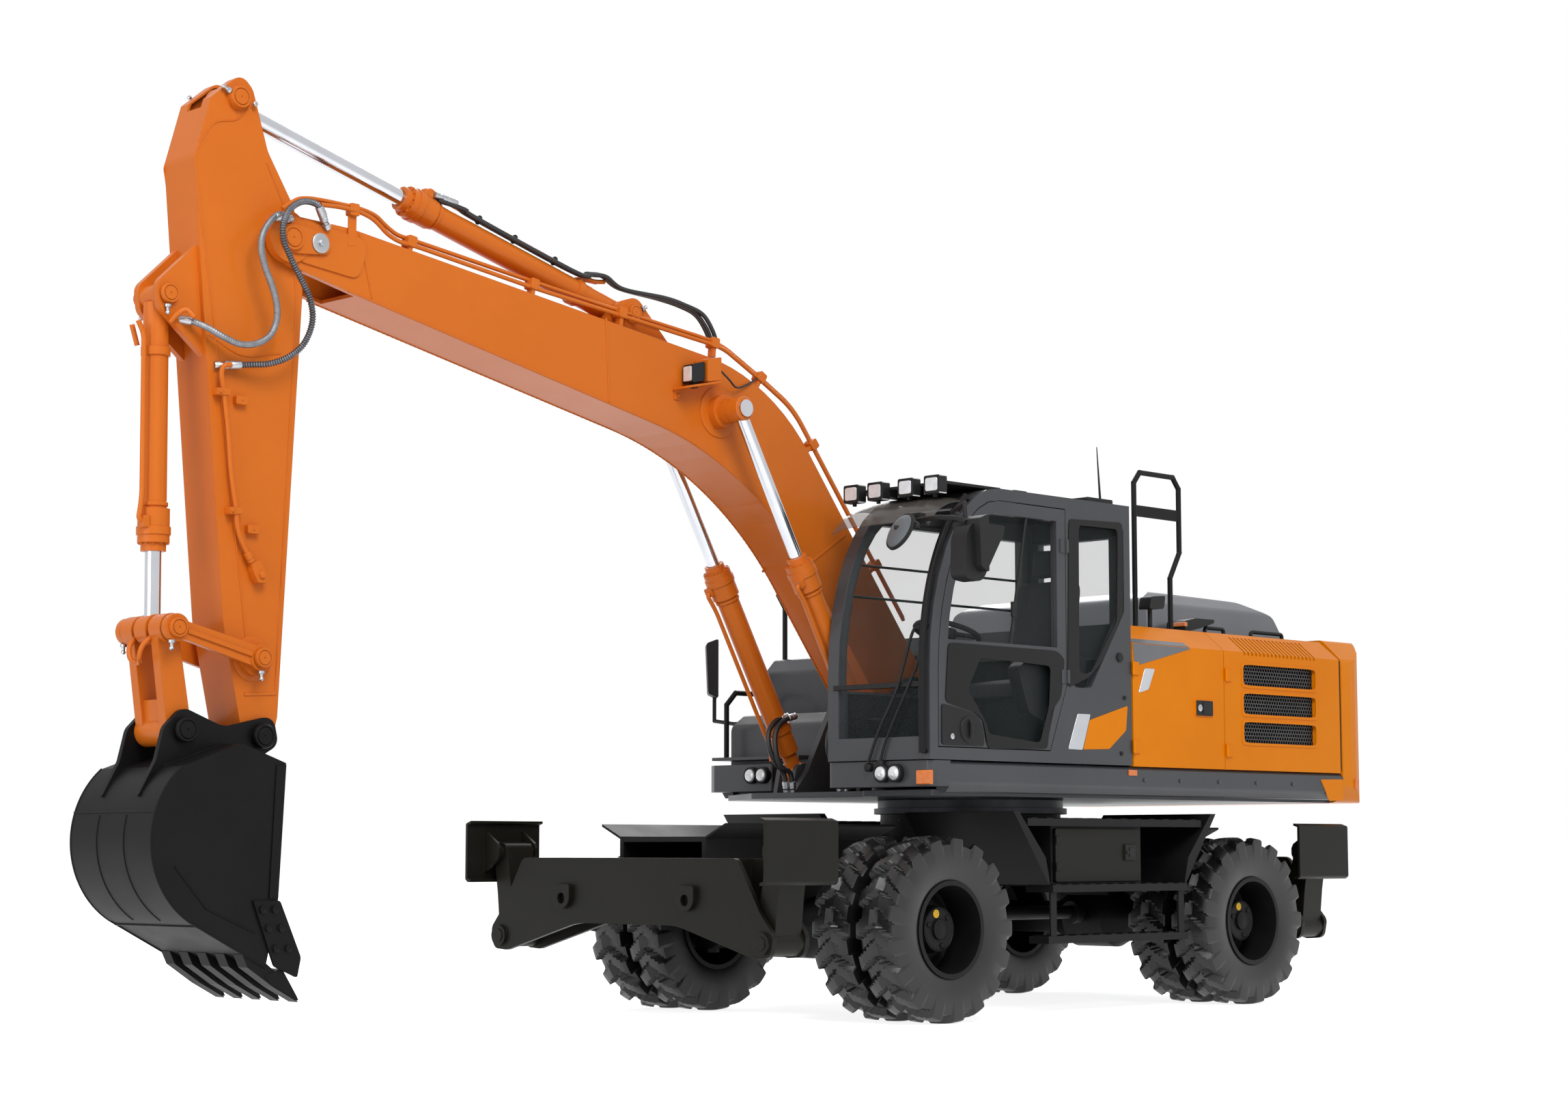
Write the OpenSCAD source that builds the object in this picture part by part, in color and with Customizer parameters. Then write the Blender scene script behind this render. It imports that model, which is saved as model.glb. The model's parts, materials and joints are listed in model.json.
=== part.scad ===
// Wheeled excavator: twin tyres, four outriggers, one-piece boom, arm and digging bucket.
// X runs forward, Y to the operator's left, Z up from the ground. Sizes are millimetres.
// Places are measured from the middle of the wheelbase, then moved so that the
// origin lies on the ground under the middle of the whole machine.

/* [Running gear] */
// Distance between the axles
wheelbase = 2880; // [2700:10:3100]
// Diameter of a tyre over its lugs
tyre_d = 1055; // [1000:5:1100]
// Width of one tyre
tyre_w = 278; // [240:2:300]
// Gap between twin tyres
twin_gap = 64; // [40:2:90]
// Width over the outer tyre faces
track_w = 2530; // [2480:10:2640]
// Diameter of the rim barrel
rim_d = 525; // [500:5:560]
// Lugs round one tyre
lug_count = 17; // [13:1:19]
// Depth of a lug at the crown
lug_h = 36; // [20:1:45]
// Radius of the hub cap
hub_cap_r = 126; // [100:2:140]
// Diameter of an axle tube
axle_tube_d = 210; // [160:5:240]
// Distance from the machine's middle to a kingpin
kingpin_y = 720; // [700:5:760]

/* [Chassis] */
// Width of the frame beam
frame_w = 720; // [600:10:760]
// Underside of the frame beam
frame_z0 = 790; // [760:5:820]
// Top of the frame beam
frame_z1 = 1050; // [1000:5:1080]
// Plate thickness of the frame
frame_wall = 30; // [16:1:40]
// Place of the swing axis behind the middle of the wheelbase
swing_back = 150; // [0:10:250]
// Outer radius of the swing bearing
bearing_r = 613; // [560:1:650]
// Height of the swing bearing
bearing_h = 85; // [60:1:100]
// Top of the swing bearing
bearing_top = 1285; // [1270:1:1290]
// Length of the step box at its top
step_top_l = 1740; // [1500:10:1800]
// Length of the step box at its foot
step_low_l = 1300; // [1100:10:1400]
// Height of the upper tread
step_top_z = 1160; // [1120:5:1180]
// Height of the middle tread
step_mid_z = 770; // [740:5:800]
// Height of the ladder tread
step_low_z = 470; // [430:5:520]
// Distance of the step edges from the middle
step_y = 1220; // [1150:5:1240]

/* [Outriggers] */
// Place of the front outriggers ahead of the front axle
front_outrigger_x = 1210; // [1110:10:1310]
// Place of the rear outriggers behind the rear axle
rear_outrigger_x = 780; // [740:10:860]
// Depth of an outrigger frame along the machine
outrigger_l = 280; // [240:5:320]
// Distance from the middle to a leg's hinge
leg_hinge_y = 1100; // [1050:5:1130]
// Height of a leg's hinge
leg_hinge_z = 476; // [440:2:520]
// Length of a leg from its hinge to its pad
leg_l = 490; // [440:5:520]
// Length of a ground pad
pad_l = 552; // [480:2:600]
// Height of a folded ground pad
pad_h = 360; // [300:2:400]

/* [Upper structure] */
// Underside of the side sills
sill_z0 = 1300; // [1295:1:1340]
// Top of the side sills
sill_z1 = 1480; // [1440:5:1500]
// Half the width of the upper structure
upper_y = 1250; // [1220:5:1280]
// Rear end of the sills and hood
hood_x0 = -2480; // [-2600:10:-2400]
// Front end of the hood, behind the cab
hood_x1 = -232; // [-260:1:-226]
// Height of the crease along the hood's side
hood_crease_z = 2234; // [2150:2:2300]
// Height of the hood's top
hood_top_z = 2360; // [2310:2:2420]
// Width of the slope between crease and top
hood_slope = 150; // [80:5:200]
// Joint between the two left hood doors
hood_split_x = -1170; // [-1300:10:-1000]
// Thickness of the hood's doors and walls
hood_wall = 30; // [20:1:40]
// Height of the engine hood's crown above the hood's top
dome_h = 285; // [200:5:340]
// Distance from the tail to the middle of the wheelbase
tail_x = 2990; // [2920:10:3100]
// Corner radius of the counterweight in plan
tail_corner_r = 300; // [200:5:400]

/* [Cab] */
// Rear face of the cab
cab_x0 = -222; // [-224:1:-200]
// Foremost face of the cab
cab_x1 = 1612; // [1560:2:1660]
// Right face of the cab
cab_y0 = 448; // [446:1:470]
// Floor level of the cab
cab_z0 = 1485; // [1480:1:1500]
// Roof level of the cab
cab_z1 = 3075; // [2980:5:3120]
// Height at which the front starts to curve back
cab_knee_z = 1990; // [1900:5:2100]
// Place along the machine where the front meets the roof
cab_brow_x = 1000; // [900:5:1100]
// Wall thickness of the cab
cab_wall = 55; // [45:1:60]
// Width of the front pillars
cab_pillar = 85; // [75:1:110]
// Thickness of the window glass
glass_t = 8; // [5:1:12]
// Rear edge of the door
door_x0 = 400; // [360:5:440]

/* [Boom] */
// Place of the boom's foot pin along the machine
boom_foot_x = 600; // [560:5:640]
// Height of the boom's foot pin
boom_foot_z = 1850; // [1820:5:1900]
// Reach from foot pin to tip pin
boom_reach = 4662; // [4500:1:4800]
// Rise from foot pin to tip pin
boom_rise = 2216; // [2100:1:2300]
// Width of the boom
boom_w = 360; // [340:2:400]
// Plate thickness of the boom
boom_wall = 20; // [14:1:30]
// Radius of the boom's foot boss
boom_foot_r = 190; // [170:5:215]
// Radius of the boom's tip boss
boom_tip_r = 125; // [115:1:140]
// Distance from the machine's middle to a boom cylinder
boom_cyl_y = 350; // [346:1:356]

/* [Arm and bucket] */
// Length from the arm's pivot to the bucket pin
arm_l = 2532; // [2400:1:2700]
// Width of the arm
arm_w = 270; // [250:2:276]
// Plate thickness of the arm
arm_wall = 16; // [12:1:24]
// Width of the bucket over its side plates
bucket_w = 720; // [640:10:900]
// Plate thickness of the bucket
bucket_wall = 22; // [14:1:30]
// Radius of the bucket from its pin to the tooth tips
bucket_tip_r = 1310; // [1250:5:1360]
// Number of teeth
tooth_count = 5; // [4:1:6]
// Width of a tooth
tooth_w = 78; // [60:1:90]
// Thickness of a bucket ear
ear_t = 30; // [24:1:36]

/* [Cylinders] */
// Bore tube diameter of the boom cylinders
boom_tube_d = 135; // [120:1:150]
// Rod diameter of the boom cylinders
boom_rod_d = 76; // [60:1:90]
// Length of a boom cylinder's tube from its base pin
boom_tube_l = 1430; // [1350:5:1460]
// Bore tube diameter of the arm cylinder
arm_tube_d = 140; // [120:1:150]
// Rod diameter of the arm cylinder
arm_rod_d = 90; // [70:1:95]
// Length of the arm cylinder's tube from its foot pin
arm_tube_l = 1625; // [1580:5:1700]
// Bore tube diameter of the bucket cylinder
bucket_tube_d = 125; // [110:1:135]
// Rod diameter of the bucket cylinder
bucket_rod_d = 80; // [60:1:85]
// Length of the bucket cylinder's tube from its foot pin
bucket_tube_l = 1270; // [1240:5:1300]

/* [Clearances] */
// Gap between a turning pin and its bore
pin_gap = 0.4; // [0.3:0.1:0.6]
// Gap between faces that turn on each other
face_gap = 0.5; // [0.3:0.1:0.8]
// Gap between moving pieces that pass each other
run_gap = 8; // [5:1:12]
// Gap round glass and panels in their openings
seat_gap = 0.5; // [0.3:0.1:0.8]
// Gap round doors and lids
door_gap = 6; // [5:1:8]

/* [Hidden] */
$fn = 48;
orange = "#D26A24";
hood_orange = "#EE8A00";
dark_grey = "#4C4C50";
black = "#1C1C1D";
olive_black = "#2B2A25";
glass_tint = "#B9C9C6";

axle_z = tyre_d / 2;
axle_x = wheelbase / 2;
front_stand_x = axle_x + front_outrigger_x;
rear_stand_x = axle_x + rear_outrigger_x;
tyre_y = track_w / 2;
rim_r = rim_d / 2;
inner_tyre_y = tyre_y - 2 * tyre_w - twin_gap;
disc_y = tyre_y - tyre_w - twin_gap / 2;
hub_y = disc_y - 24;
swing_x = -swing_back;

boom_foot = [boom_foot_x, boom_foot_z];
boom_tip = boom_foot + [boom_reach, boom_rise];
boom_cyl_base = boom_foot + [470, -410];
boom_cyl_eye = boom_foot + [1645, 1655];
arm_cyl_foot = boom_foot + [2265, 2166];
elbow_top = boom_foot + [1221, 1902];
elbow_low = boom_foot + [1346, 1366];
boss_len = boom_cyl_y - 50 - face_gap;

arm_top = boom_tip + [297, 684];
bucket_pin = boom_tip + [111, -sqrt(arm_l * arm_l - 111 * 111)];
bucket_cyl_foot = bucket_pin + [548, 2165.566];
rocker_pin = bucket_pin + [36, 385];
link_low = bucket_pin + [448, 19];
link_top = bucket_pin + [527, 511];
bucket_back = bucket_pin[0] + 733;
tooth_tip = bucket_pin + [-123, -sqrt(bucket_tip_r * bucket_tip_r - 123 * 123)];
x_mid = (bucket_back - tail_x) / 2;

arm_y = arm_w / 2;
cheek_y = boom_w / 2;
ear_y = arm_y + 12;
rocker_y = ear_y + ear_t + run_gap;
rocker_t = 40;
lug_y = 75;

// Unit vector along v
function unit(v) = v / norm(v);
// Vector v turned a quarter left
function left_of(v) = [-v[1], v[0]];
// Angle of v in degrees
function bearing_of(v) = atan2(v[1], v[0]);
// Points of an arc of radius r that rounds corner a between p and b
function corner(p, a, b, r, n) =
    let (u = unit(p - a), v = unit(b - a),
         half = acos(max(-1, min(1, u * v))) / 2,
         c = a + unit(u + v) * r / sin(half),
         s = a + u * r / tan(half), e = a + v * r / tan(half),
         a0 = bearing_of(s - c), turn = ((bearing_of(e - c) - a0 + 540) % 360) - 180)
    [for (i = [0 : n]) c + r * [cos(a0 + turn * i / n), sin(a0 + turn * i / n)]];
// Polygon points with corner i rounded to radii[i]
function rounded(pts, radii, n = 6) =
    let (m = len(pts))
    [for (i = [0 : m - 1])
        each radii[i] > 0 ? corner(pts[(i + m - 1) % m], pts[i], pts[(i + 1) % m], radii[i], n) : [pts[i]]];

module placed() translate([-x_mid, 0, 0]) children();
module both_sides() {
    children();
    mirror([0, 1, 0]) children();
}
// Shape drawn in X and Z, extruded from y0 to y1
module plate(y0, y1) translate([0, y1, 0]) rotate([90, 0, 0]) linear_extrude(y1 - y0) children();
// Shape drawn in Y and Z, extruded from x0 to x1
module rib(x0, x1) translate([x0, 0, 0]) rotate([90, 0, 90]) linear_extrude(x1 - x0) children();
// Shape drawn in X and Y, extruded from z0 to z1
module slab(z0, z1) translate([0, 0, z0]) linear_extrude(z1 - z0) children();
module box(lo, hi) translate(lo) cube(hi - lo);
// Round bar across the machine at p = [x, z]
module bar_y(p, r, y0, y1) translate([p[0], y1, p[1]]) rotate([90, 0, 0]) cylinder(r = r, h = y1 - y0);
// Round bar along the machine at p = [y, z]
module bar_x(p, r, x0, x1) translate([x0, p[0], p[1]]) rotate([0, 90, 0]) cylinder(r = r, h = x1 - x0);
// Profile of radius and Y place, turned about the Y axis
module turned_y(pts) rotate([-90, 0, 0]) rotate_extrude() polygon(pts);
// Pipe of radius r through points
module pipe(pts, r) {
    for (i = [0 : len(pts) - 2]) {
        d = pts[i + 1] - pts[i];
        translate(pts[i]) rotate([0, acos(d[2] / norm(d)), atan2(d[1], d[0])]) cylinder(r = r, h = norm(d), $fn = 12);
    }
    for (i = [1 : len(pts) - 2]) translate(pts[i]) sphere(r = 1.06 * r, $fn = 12);
}
module rounded_rect(lo, hi, r) polygon(rounded([lo, [hi[0], lo[1]], hi, [lo[0], hi[1]]], [r, r, r, r]));

// Tyre with chevron lugs: rings of seven points, three rings to a lug
lug_pitch = 360 / lug_count;
lug_steps = [0, 0.46, 0.73];
tyre_r = tyre_d / 2;
bead_r = (rim_r + seat_gap) / cos(lug_pitch * 0.23);
tyre_rows = [[-0.4, bead_r - tyre_r, 0], [-0.5, -130, 0], [-0.455, -lug_h - 14, 1], [0, -lug_h, 1],
    [0.455, -lug_h - 14, 1], [0.5, -130, 0], [0.4, bead_r - tyre_r, 0]];
function tyre_point(lug, k, row) =
    let (a = lug_pitch * (lug + lug_steps[k] + 0.5 * row[2] * (1 - abs(row[0]) / 0.455)),
         r = tyre_r + row[1] + (k < 2 ? lug_h * row[2] : 0))
    [r * cos(a), row[0] * tyre_w, r * sin(a)];
module tyre() {
    n = 3 * lug_count;
    m = len(tyre_rows);
    points = [for (lug = [0 : lug_count - 1]) for (k = [0 : 2]) for (row = tyre_rows) tyre_point(lug, k, row)];
    faces = [for (i = [0 : n - 1]) for (j = [0 : m - 1])
        let (a = i * m + j, b = i * m + (j + 1) % m, c = ((i + 1) % n) * m + (j + 1) % m, d = ((i + 1) % n) * m + j)
        each [[a, b, c], [a, c, d]]];
    polyhedron(points, faces);
}
module twin_tyres(x, side) placed() color(black)
    for (y = [tyre_y - tyre_w / 2, inner_tyre_y + tyre_w / 2])
        translate([x, side * y, axle_z]) tyre();
// Both rims of a twin wheel with its disc, hub and cap, outer face towards +Y
module rim_profile() {
    flange = rim_r + 22;
    barrel = rim_r - 14;
    for (y = [inner_tyre_y + 12, tyre_y - tyre_w + 12])
        turned_y([[barrel, y], [flange - 8, y], [flange - 8, y + 6], [rim_r, y + 12], [rim_r, y + tyre_w - 36],
            [flange - 8, y + tyre_w - 30], [flange - 8, y + tyre_w - 24], [barrel, y + tyre_w - 24]]);
    turned_y([[0, hub_y], [barrel - 40, hub_y], [barrel, hub_y - 30], [barrel + 2, hub_y - 30], [barrel + 2, disc_y + 60],
        [barrel - 6, disc_y + 60], [barrel - 34, disc_y + 24], [165, disc_y + 16], [160, disc_y + 120],
        [hub_cap_r + 10, disc_y + 126], [hub_cap_r, disc_y + 190], [hub_cap_r - 14, disc_y + 202], [0, disc_y + 202]]);
}
module twin_rim(x, side) placed() color(black)
    translate([x, 0, axle_z]) mirror([0, side < 0 ? 1 : 0, 0]) rim_profile();
module rim_front_left() twin_rim(axle_x, 1);
module rim_front_right() twin_rim(axle_x, -1);
module rim_rear_left() twin_rim(-axle_x, 1);
module rim_rear_right() twin_rim(-axle_x, -1);
module tyres_front_left() twin_tyres(axle_x, 1);
module tyres_front_right() twin_tyres(axle_x, -1);
module tyres_rear_left() twin_tyres(-axle_x, 1);
module tyres_rear_right() twin_tyres(-axle_x, -1);

// Axle housing: a bulged differential with tapering tubes out to tube_end
module axle_housing(tube_end) {
    tube = axle_tube_d / 2;
    turned_y([[0, -tube_end], [tube, -tube_end], [tube, -330], [tube + 85, -160], [tube + 85, 160], [tube, 330],
        [tube, tube_end], [0, tube_end]]);
}
yoke_in = kingpin_y - 120;
yoke_out = kingpin_y + 50;
knuckle_h = 180;
module front_axle() placed() color(black) translate([axle_x, 0, axle_z]) {
    difference() {
        union() {
            axle_housing(yoke_in + 1);
            both_sides() rib(-85, 85)
                polygon(rounded([[yoke_in - 60, -110], [yoke_in + 30, -150], [yoke_out, -150], [yoke_out, 150],
                    [yoke_in + 30, 150], [yoke_in - 60, 110]], [0, 30, 30, 30, 30, 0]));
        }
        both_sides() {
            box([-90, kingpin_y - 96, -knuckle_h / 2 - face_gap], [90, yoke_out + 1, knuckle_h / 2 + face_gap]);
        }
    }
    both_sides() for (z = [-176, 150]) translate([0, kingpin_y, z]) cylinder(r = 52, h = 26);
    box([-140, -190, 150], [140, 190, frame_z0 - axle_z]);
}
module knuckle(side) placed() color(black) translate([axle_x, 0, axle_z]) mirror([0, side < 0 ? 1 : 0, 0]) {
    translate([0, kingpin_y, -knuckle_h / 2]) cylinder(r = 84, h = knuckle_h);
    box([-66, kingpin_y, -knuckle_h / 2 + 4], [66, hub_y - 50, knuckle_h / 2 - 4]);
    turned_y([[0, hub_y - 60], [150, hub_y - 60], [176, hub_y - 36], [176, hub_y - face_gap], [0, hub_y - face_gap]]);
}
module knuckle_left() knuckle(1);
module knuckle_right() knuckle(-1);
module rear_axle() placed() color(black) translate([-axle_x, 0, axle_z]) {
    axle_housing(hub_y - 50);
    both_sides() turned_y([[0, hub_y - 60], [150, hub_y - 60], [176, hub_y - 36], [176, hub_y - face_gap],
        [0, hub_y - face_gap]]);
    box([-140, -190, 150], [140, 190, frame_z0 - axle_z]);
}

outrigger_in = outrigger_l / 2;
frame_x1 = front_stand_x - outrigger_in;
frame_x0 = -rear_stand_x + outrigger_in;
module chassis_frame() placed() color(black) {
    half = frame_w / 2;
    difference() {
        union() {
            box([frame_x0, -half, frame_z0], [frame_x1, half, frame_z1]);
            translate([swing_x, 0, frame_z1 - 1]) cylinder(r = bearing_r - 40, h = bearing_top - bearing_h - frame_z1 + 1);
        }
        box([frame_x0 - 1, -half + frame_wall, frame_z0 + frame_wall], [frame_x1 + 1, half - frame_wall, frame_z1 - frame_wall]);
        translate([swing_x, 0, frame_z1 - frame_wall - 1]) cylinder(r = bearing_r - 140, h = bearing_top);
    }
    // Deck plates over the front and rear wheels, level with the frame's top
    for (x = [[axle_x - 330, frame_x1], [frame_x0, -axle_x + 330]])
        both_sides() rib(x[0], x[1]) polygon([[half, frame_z1 - 12], [half + 160, frame_z1 + 60], [half + 160, frame_z1 + 74],
            [half, frame_z1 + 2]]);
}
module swing_bearing() placed() color(dark_grey) translate([swing_x, 0, bearing_top - bearing_h]) difference() {
    union() {
        cylinder(r = bearing_r - 24, h = bearing_h);
        cylinder(r = bearing_r, h = bearing_h * 0.42);
    }
    translate([0, 0, -1]) cylinder(r = bearing_r - 140, h = bearing_h + 2);
}
module driveline() placed() color(black) {
    nose = axle_tube_d / 2 + 85;
    gear_x = [-230, 190];
    rib(gear_x[0], gear_x[1]) polygon(rounded([[-170, 470], [170, 470], [170, frame_z0], [-170, frame_z0]], [60, 60, 0, 0]));
    for (run = [[gear_x[1] - 1, axle_x - nose - face_gap], [-axle_x + nose + face_gap, gear_x[0] + 1]]) {
        bar_x([0, axle_z + 40], 42, run[0], run[1]);
        bar_x([0, axle_z + 40], 74, run[0] + 40, run[0] + 110);
        bar_x([0, axle_z + 40], 74, run[1] - 150, run[1] - 80);
    }
}
// Cross frame of a pair of outriggers: two curved plates, a roof and a floor between the leg pockets
module outrigger_frame() {
    y1 = leg_hinge_y;
    outline = rounded([[-900, 930], [900, 930], [y1 - 20, 640], [y1 + 84, 520], [y1 + 60, 400], [y1 - 60, 392], [420, 560],
        [-420, 560], [-y1 + 60, 392], [-y1 - 60, 400], [-y1 - 84, 520], [-y1 + 20, 640]],
        [60, 60, 200, 60, 50, 60, 600, 600, 60, 50, 60, 200]);
    for (x = [[-outrigger_in, -outrigger_in + 30], [outrigger_in - 30, outrigger_in]]) rib(x[0], x[1]) polygon(outline);
    rib(-outrigger_in + 29, outrigger_in - 29) {
        polygon([[-760, 900], [760, 900], [760, 930], [-760, 930]]);
        polygon([[-420, 560], [420, 560], [420, 590], [-420, 590]]);
        for (s = [-1, 1]) polygon([[s * 730, 600], [s * 760, 600], [s * 760, 920], [s * 730, 920]]);
    }
    both_sides() {
        bar_x([y1, leg_hinge_z], 38, -outrigger_in - 24, outrigger_in + 24);
        for (x = [-outrigger_in - 18, outrigger_in]) bar_x([y1, leg_hinge_z], 62, x, x + 18);
    }
}
module outrigger_frames() placed() color(olive_black) {
    translate([front_stand_x, 0, 0]) outrigger_frame();
    translate([-rear_stand_x, 0, 0]) outrigger_frame();
}
// Lashing eyes on the outer plates
module lashing_eyes() placed() color(olive_black)
    for (x = [front_stand_x + outrigger_in + face_gap, -rear_stand_x - outrigger_in - lash_t - face_gap])
        both_sides() difference() {
        rib(x, x + lash_t) polygon(rounded([[lash_y - 70, 640], [lash_y + 70, 640], [lash_y + 70, 780],
            [lash_y - 70, 780]], [70, 70, 20, 20]));
        bar_x([lash_y, 700], lash_r, x - 1, x + lash_t + 1);
    }
lash_t = 30;
lash_r = 32;
lash_y = 520;
// Folding leg with its ground pad, hinge towards the middle, for the left side
module leg() {
    wide = outrigger_in - 30 - face_gap;
    y1 = leg_hinge_y;
    z1 = leg_hinge_z;
    pad_y = tyre_y - 22;
    pad_z = z1 + leg_l;
    difference() {
        union() {
            bar_x([y1, z1], 70, -wide, wide);
            rib(-100, 100) polygon(rounded([[y1 - 48, z1 - 12], [y1 + 50, z1 - 20], [y1 + 76, z1 + 240], [pad_y - 20, pad_z + 58],
                [pad_y - 138, pad_z + 44], [y1 - 62, z1 + 200]], [0, 0, 80, 30, 30, 80]));
            bar_x([pad_y - 80, pad_z], 38, -141, 141);
        }
        bar_x([y1, z1], 38 + pin_gap, -wide - 1, wide + 1);
    }
    // Ground pad: sole, turned lips and two hinge ribs
    rib(-pad_l / 2, pad_l / 2) polygon(rounded([[pad_y, pad_z - pad_h / 2], [pad_y + 22, pad_z - pad_h / 2 + 16],
        [pad_y + 22, pad_z + pad_h / 2 - 16], [pad_y - 26, pad_z + pad_h / 2], [pad_y - 26, pad_z + pad_h / 2 - 14],
        [pad_y + 4, pad_z + pad_h / 2 - 24], [pad_y + 4, pad_z - pad_h / 2 + 24], [pad_y - 26, pad_z - pad_h / 2 + 14],
        [pad_y - 26, pad_z - pad_h / 2]], [0, 14, 14, 0, 0, 0, 0, 0, 0]));
    for (x = [-150, 130]) rib(x, x + 20) polygon([[pad_y + 8, pad_z - 130], [pad_y + 8, pad_z + 130], [pad_y - 118, pad_z + 48],
        [pad_y - 132, pad_z + 20], [pad_y - 132, pad_z - 20], [pad_y - 118, pad_z - 48]]);
}
module leg_at(x, side) placed() color(olive_black) translate([x, 0, 0]) mirror([0, side < 0 ? 1 : 0, 0]) leg();
module leg_front_left() leg_at(front_stand_x, 1);
module leg_front_right() leg_at(front_stand_x, -1);
module leg_rear_left() leg_at(-rear_stand_x, 1);
module leg_rear_right() leg_at(-rear_stand_x, -1);

// Step box beside the frame: slanted end plates, treads, toolbox and a hanging ladder
step_x = -120;
tool_x0 = -400;
tool_x1 = 420;
tool_y = step_y - 70;
tool_in = bearing_r - 24;
module tread(x0, x1, y0, y1, z) {
    difference() {
        box([x0, y0, z - 44], [x1, y1, z]);
        box([x0 + 8, y0 + 8, z - 45], [x1 - 8, y1 - 8, z - 8]);
    }
    for (i = [0 : 11]) box([x0 + (x1 - x0) * (i + 0.3) / 12, y0 + 6, z - 1], [x0 + (x1 - x0) * (i + 0.7) / 12, y1 - 6, z + 5]);
}
module step_box() {
    half = frame_w / 2;
    top = step_top_l / 2;
    low = step_low_l / 2;
    for (s = [-1, 1]) plate(half, step_y) polygon([[step_x + s * low, step_mid_z], [step_x + s * (low + 14), step_mid_z],
        [step_x + s * (top + 110), step_top_z + 40], [step_x + s * (top + 60), step_top_z + 40], [step_x + s * (low + 40), step_mid_z + 160]]);
    tread(step_x - top + 30, step_x + top - 30, step_y - 210, step_y - 10, step_top_z);
    tread(step_x - low, step_x + low, step_y - 190, step_y + 20, step_mid_z);
    tread(step_x - low - 30, step_x + low + 20, step_y - 150, step_y, step_low_z);
    for (x = [step_x - low + 6, step_x + low - 60]) box([x, step_y - 16, step_low_z - 30], [x + 54, step_y - 4, step_mid_z - 20]);
    // Toolbox with its mouth outwards
    difference() {
        box([tool_x0 - 20, tool_in, step_mid_z - 10], [tool_x1 + 20, tool_y, step_top_z - 40]);
        box([tool_x0, tool_in + 20, step_mid_z + 14], [tool_x1, tool_y + 1, step_top_z - 62]);
    }
}
module step_boxes() placed() color(black) both_sides() step_box();
module toolbox_door(side) placed() color(olive_black) mirror([0, side < 0 ? 1 : 0, 0]) {
    z = [step_mid_z + 16, step_top_z - 58];
    plate(tool_y + face_gap, tool_y + 18) rounded_rect([tool_x0 + 4, z[0]], [tool_x1 - 4, z[1]], 12);
    plate(tool_y + 17, tool_y + 26) rounded_rect([tool_x0 + 60, 910], [tool_x0 + 170, 1010], 8);
    for (z = [850, 1010]) {
        translate([tool_x1 - 4, tool_y + 25, z]) cylinder(r = 6, h = 50);
        box([tool_x1 - 44, tool_y + 17, z], [tool_x1 - 5, tool_y + 23, z + 50]);
    }
}
module toolbox_door_left() toolbox_door(1);
module toolbox_door_right() toolbox_door(-1);

// Deck of the upper structure with the boom's towers and the cylinders' lugs
tower_y = cheek_y + 30;
tower_t = 40;
deck_z = bearing_top + face_gap;
module upper_frame() placed() color(dark_grey) {
    slab(deck_z, deck_z + 34) polygon(rounded([[hood_x0, -upper_y + 110], [900, -upper_y + 110], [1330, -480], [1330, 480],
        [1440, 560], [1440, upper_y - 110], [hood_x0, upper_y - 110]], [0, 60, 40, 40, 40, 60, 0]));
    both_sides() {
        plate(tower_y, tower_y + tower_t) polygon(rounded([[-900, deck_z + 33], [boom_cyl_base[0] + 160, deck_z + 33],
            [boom_cyl_base[0] + 40, deck_z + 170], boom_foot + [270, 40], boom_foot + [80, 190], boom_foot + [-160, 150],
            [-900, deck_z + 260]], [0, 0, 60, 120, 120, 120, 60]));
        bar_y(boom_foot, 110, tower_y - 25, tower_y + tower_t + 30);
        bar_y(boom_foot, 52, 0, tower_y + tower_t + 44);
        for (y = [boom_cyl_y - 84, boom_cyl_y + 50 + face_gap]) difference() {
            plate(y, y + 34 - face_gap) polygon(rounded([[boom_cyl_base[0] - 160, deck_z + 33], [boom_cyl_base[0] + 120, deck_z + 33],
                boom_cyl_base + [80, 60], boom_cyl_base + [-70, 70]], [0, 0, 70, 60]));
        }
        bar_y(boom_cyl_base, 42, boom_cyl_y - 84, boom_cyl_y + 88);
    }
    // Mounts that carry the cab
    for (x = [0, 1250], y = [cab_y0 + 90, upper_y - 200]) translate([x, y, deck_z + 33]) cylinder(r = 60, h = cab_z0 - deck_z - 33);
    // Bed for the engine and tank, and cross wall behind the boom
    box([-940, -tower_y - 1, deck_z + 33], [-900, tower_y + 1, deck_z + 300]);
}

// Sills with lamp boxes at the front
lamp_x = cab_x1 - 12;
right_lamp_x = 1000;
module plate_sill(x0, x1) rib(x0, x1) polygon(rounded([[upper_y - 110, sill_z0 + 20], [upper_y - 40, sill_z0], [upper_y, sill_z0 + 50],
    [upper_y, sill_z1 - 24], [upper_y - 24, sill_z1], [upper_y - 110, sill_z1]], [0, 20, 40, 20, 20, 0]));
module side_sills() placed() color(dark_grey) {
    plate_sill(hood_x0, 1440);
    mirror([0, 1, 0]) plate_sill(hood_x0, right_lamp_x - 150);
    // Left lamp box under the cab's front
    slab(sill_z0 + 34, sill_z1) polygon(rounded([[1440, 430], [lamp_x, 430], [lamp_x, upper_y - 30], [1560, upper_y], [1440, upper_y]],
        [0, 40, 40, 20, 0]));
    // Right lamp box
    slab(sill_z0 + 40, sill_z1 + 30) polygon(rounded([[right_lamp_x - 150, -upper_y], [right_lamp_x - 60, -upper_y], [right_lamp_x, -upper_y + 90],
        [right_lamp_x, -640], [right_lamp_x - 150, -640]], [0, 20, 30, 30, 0]));
}

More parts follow.
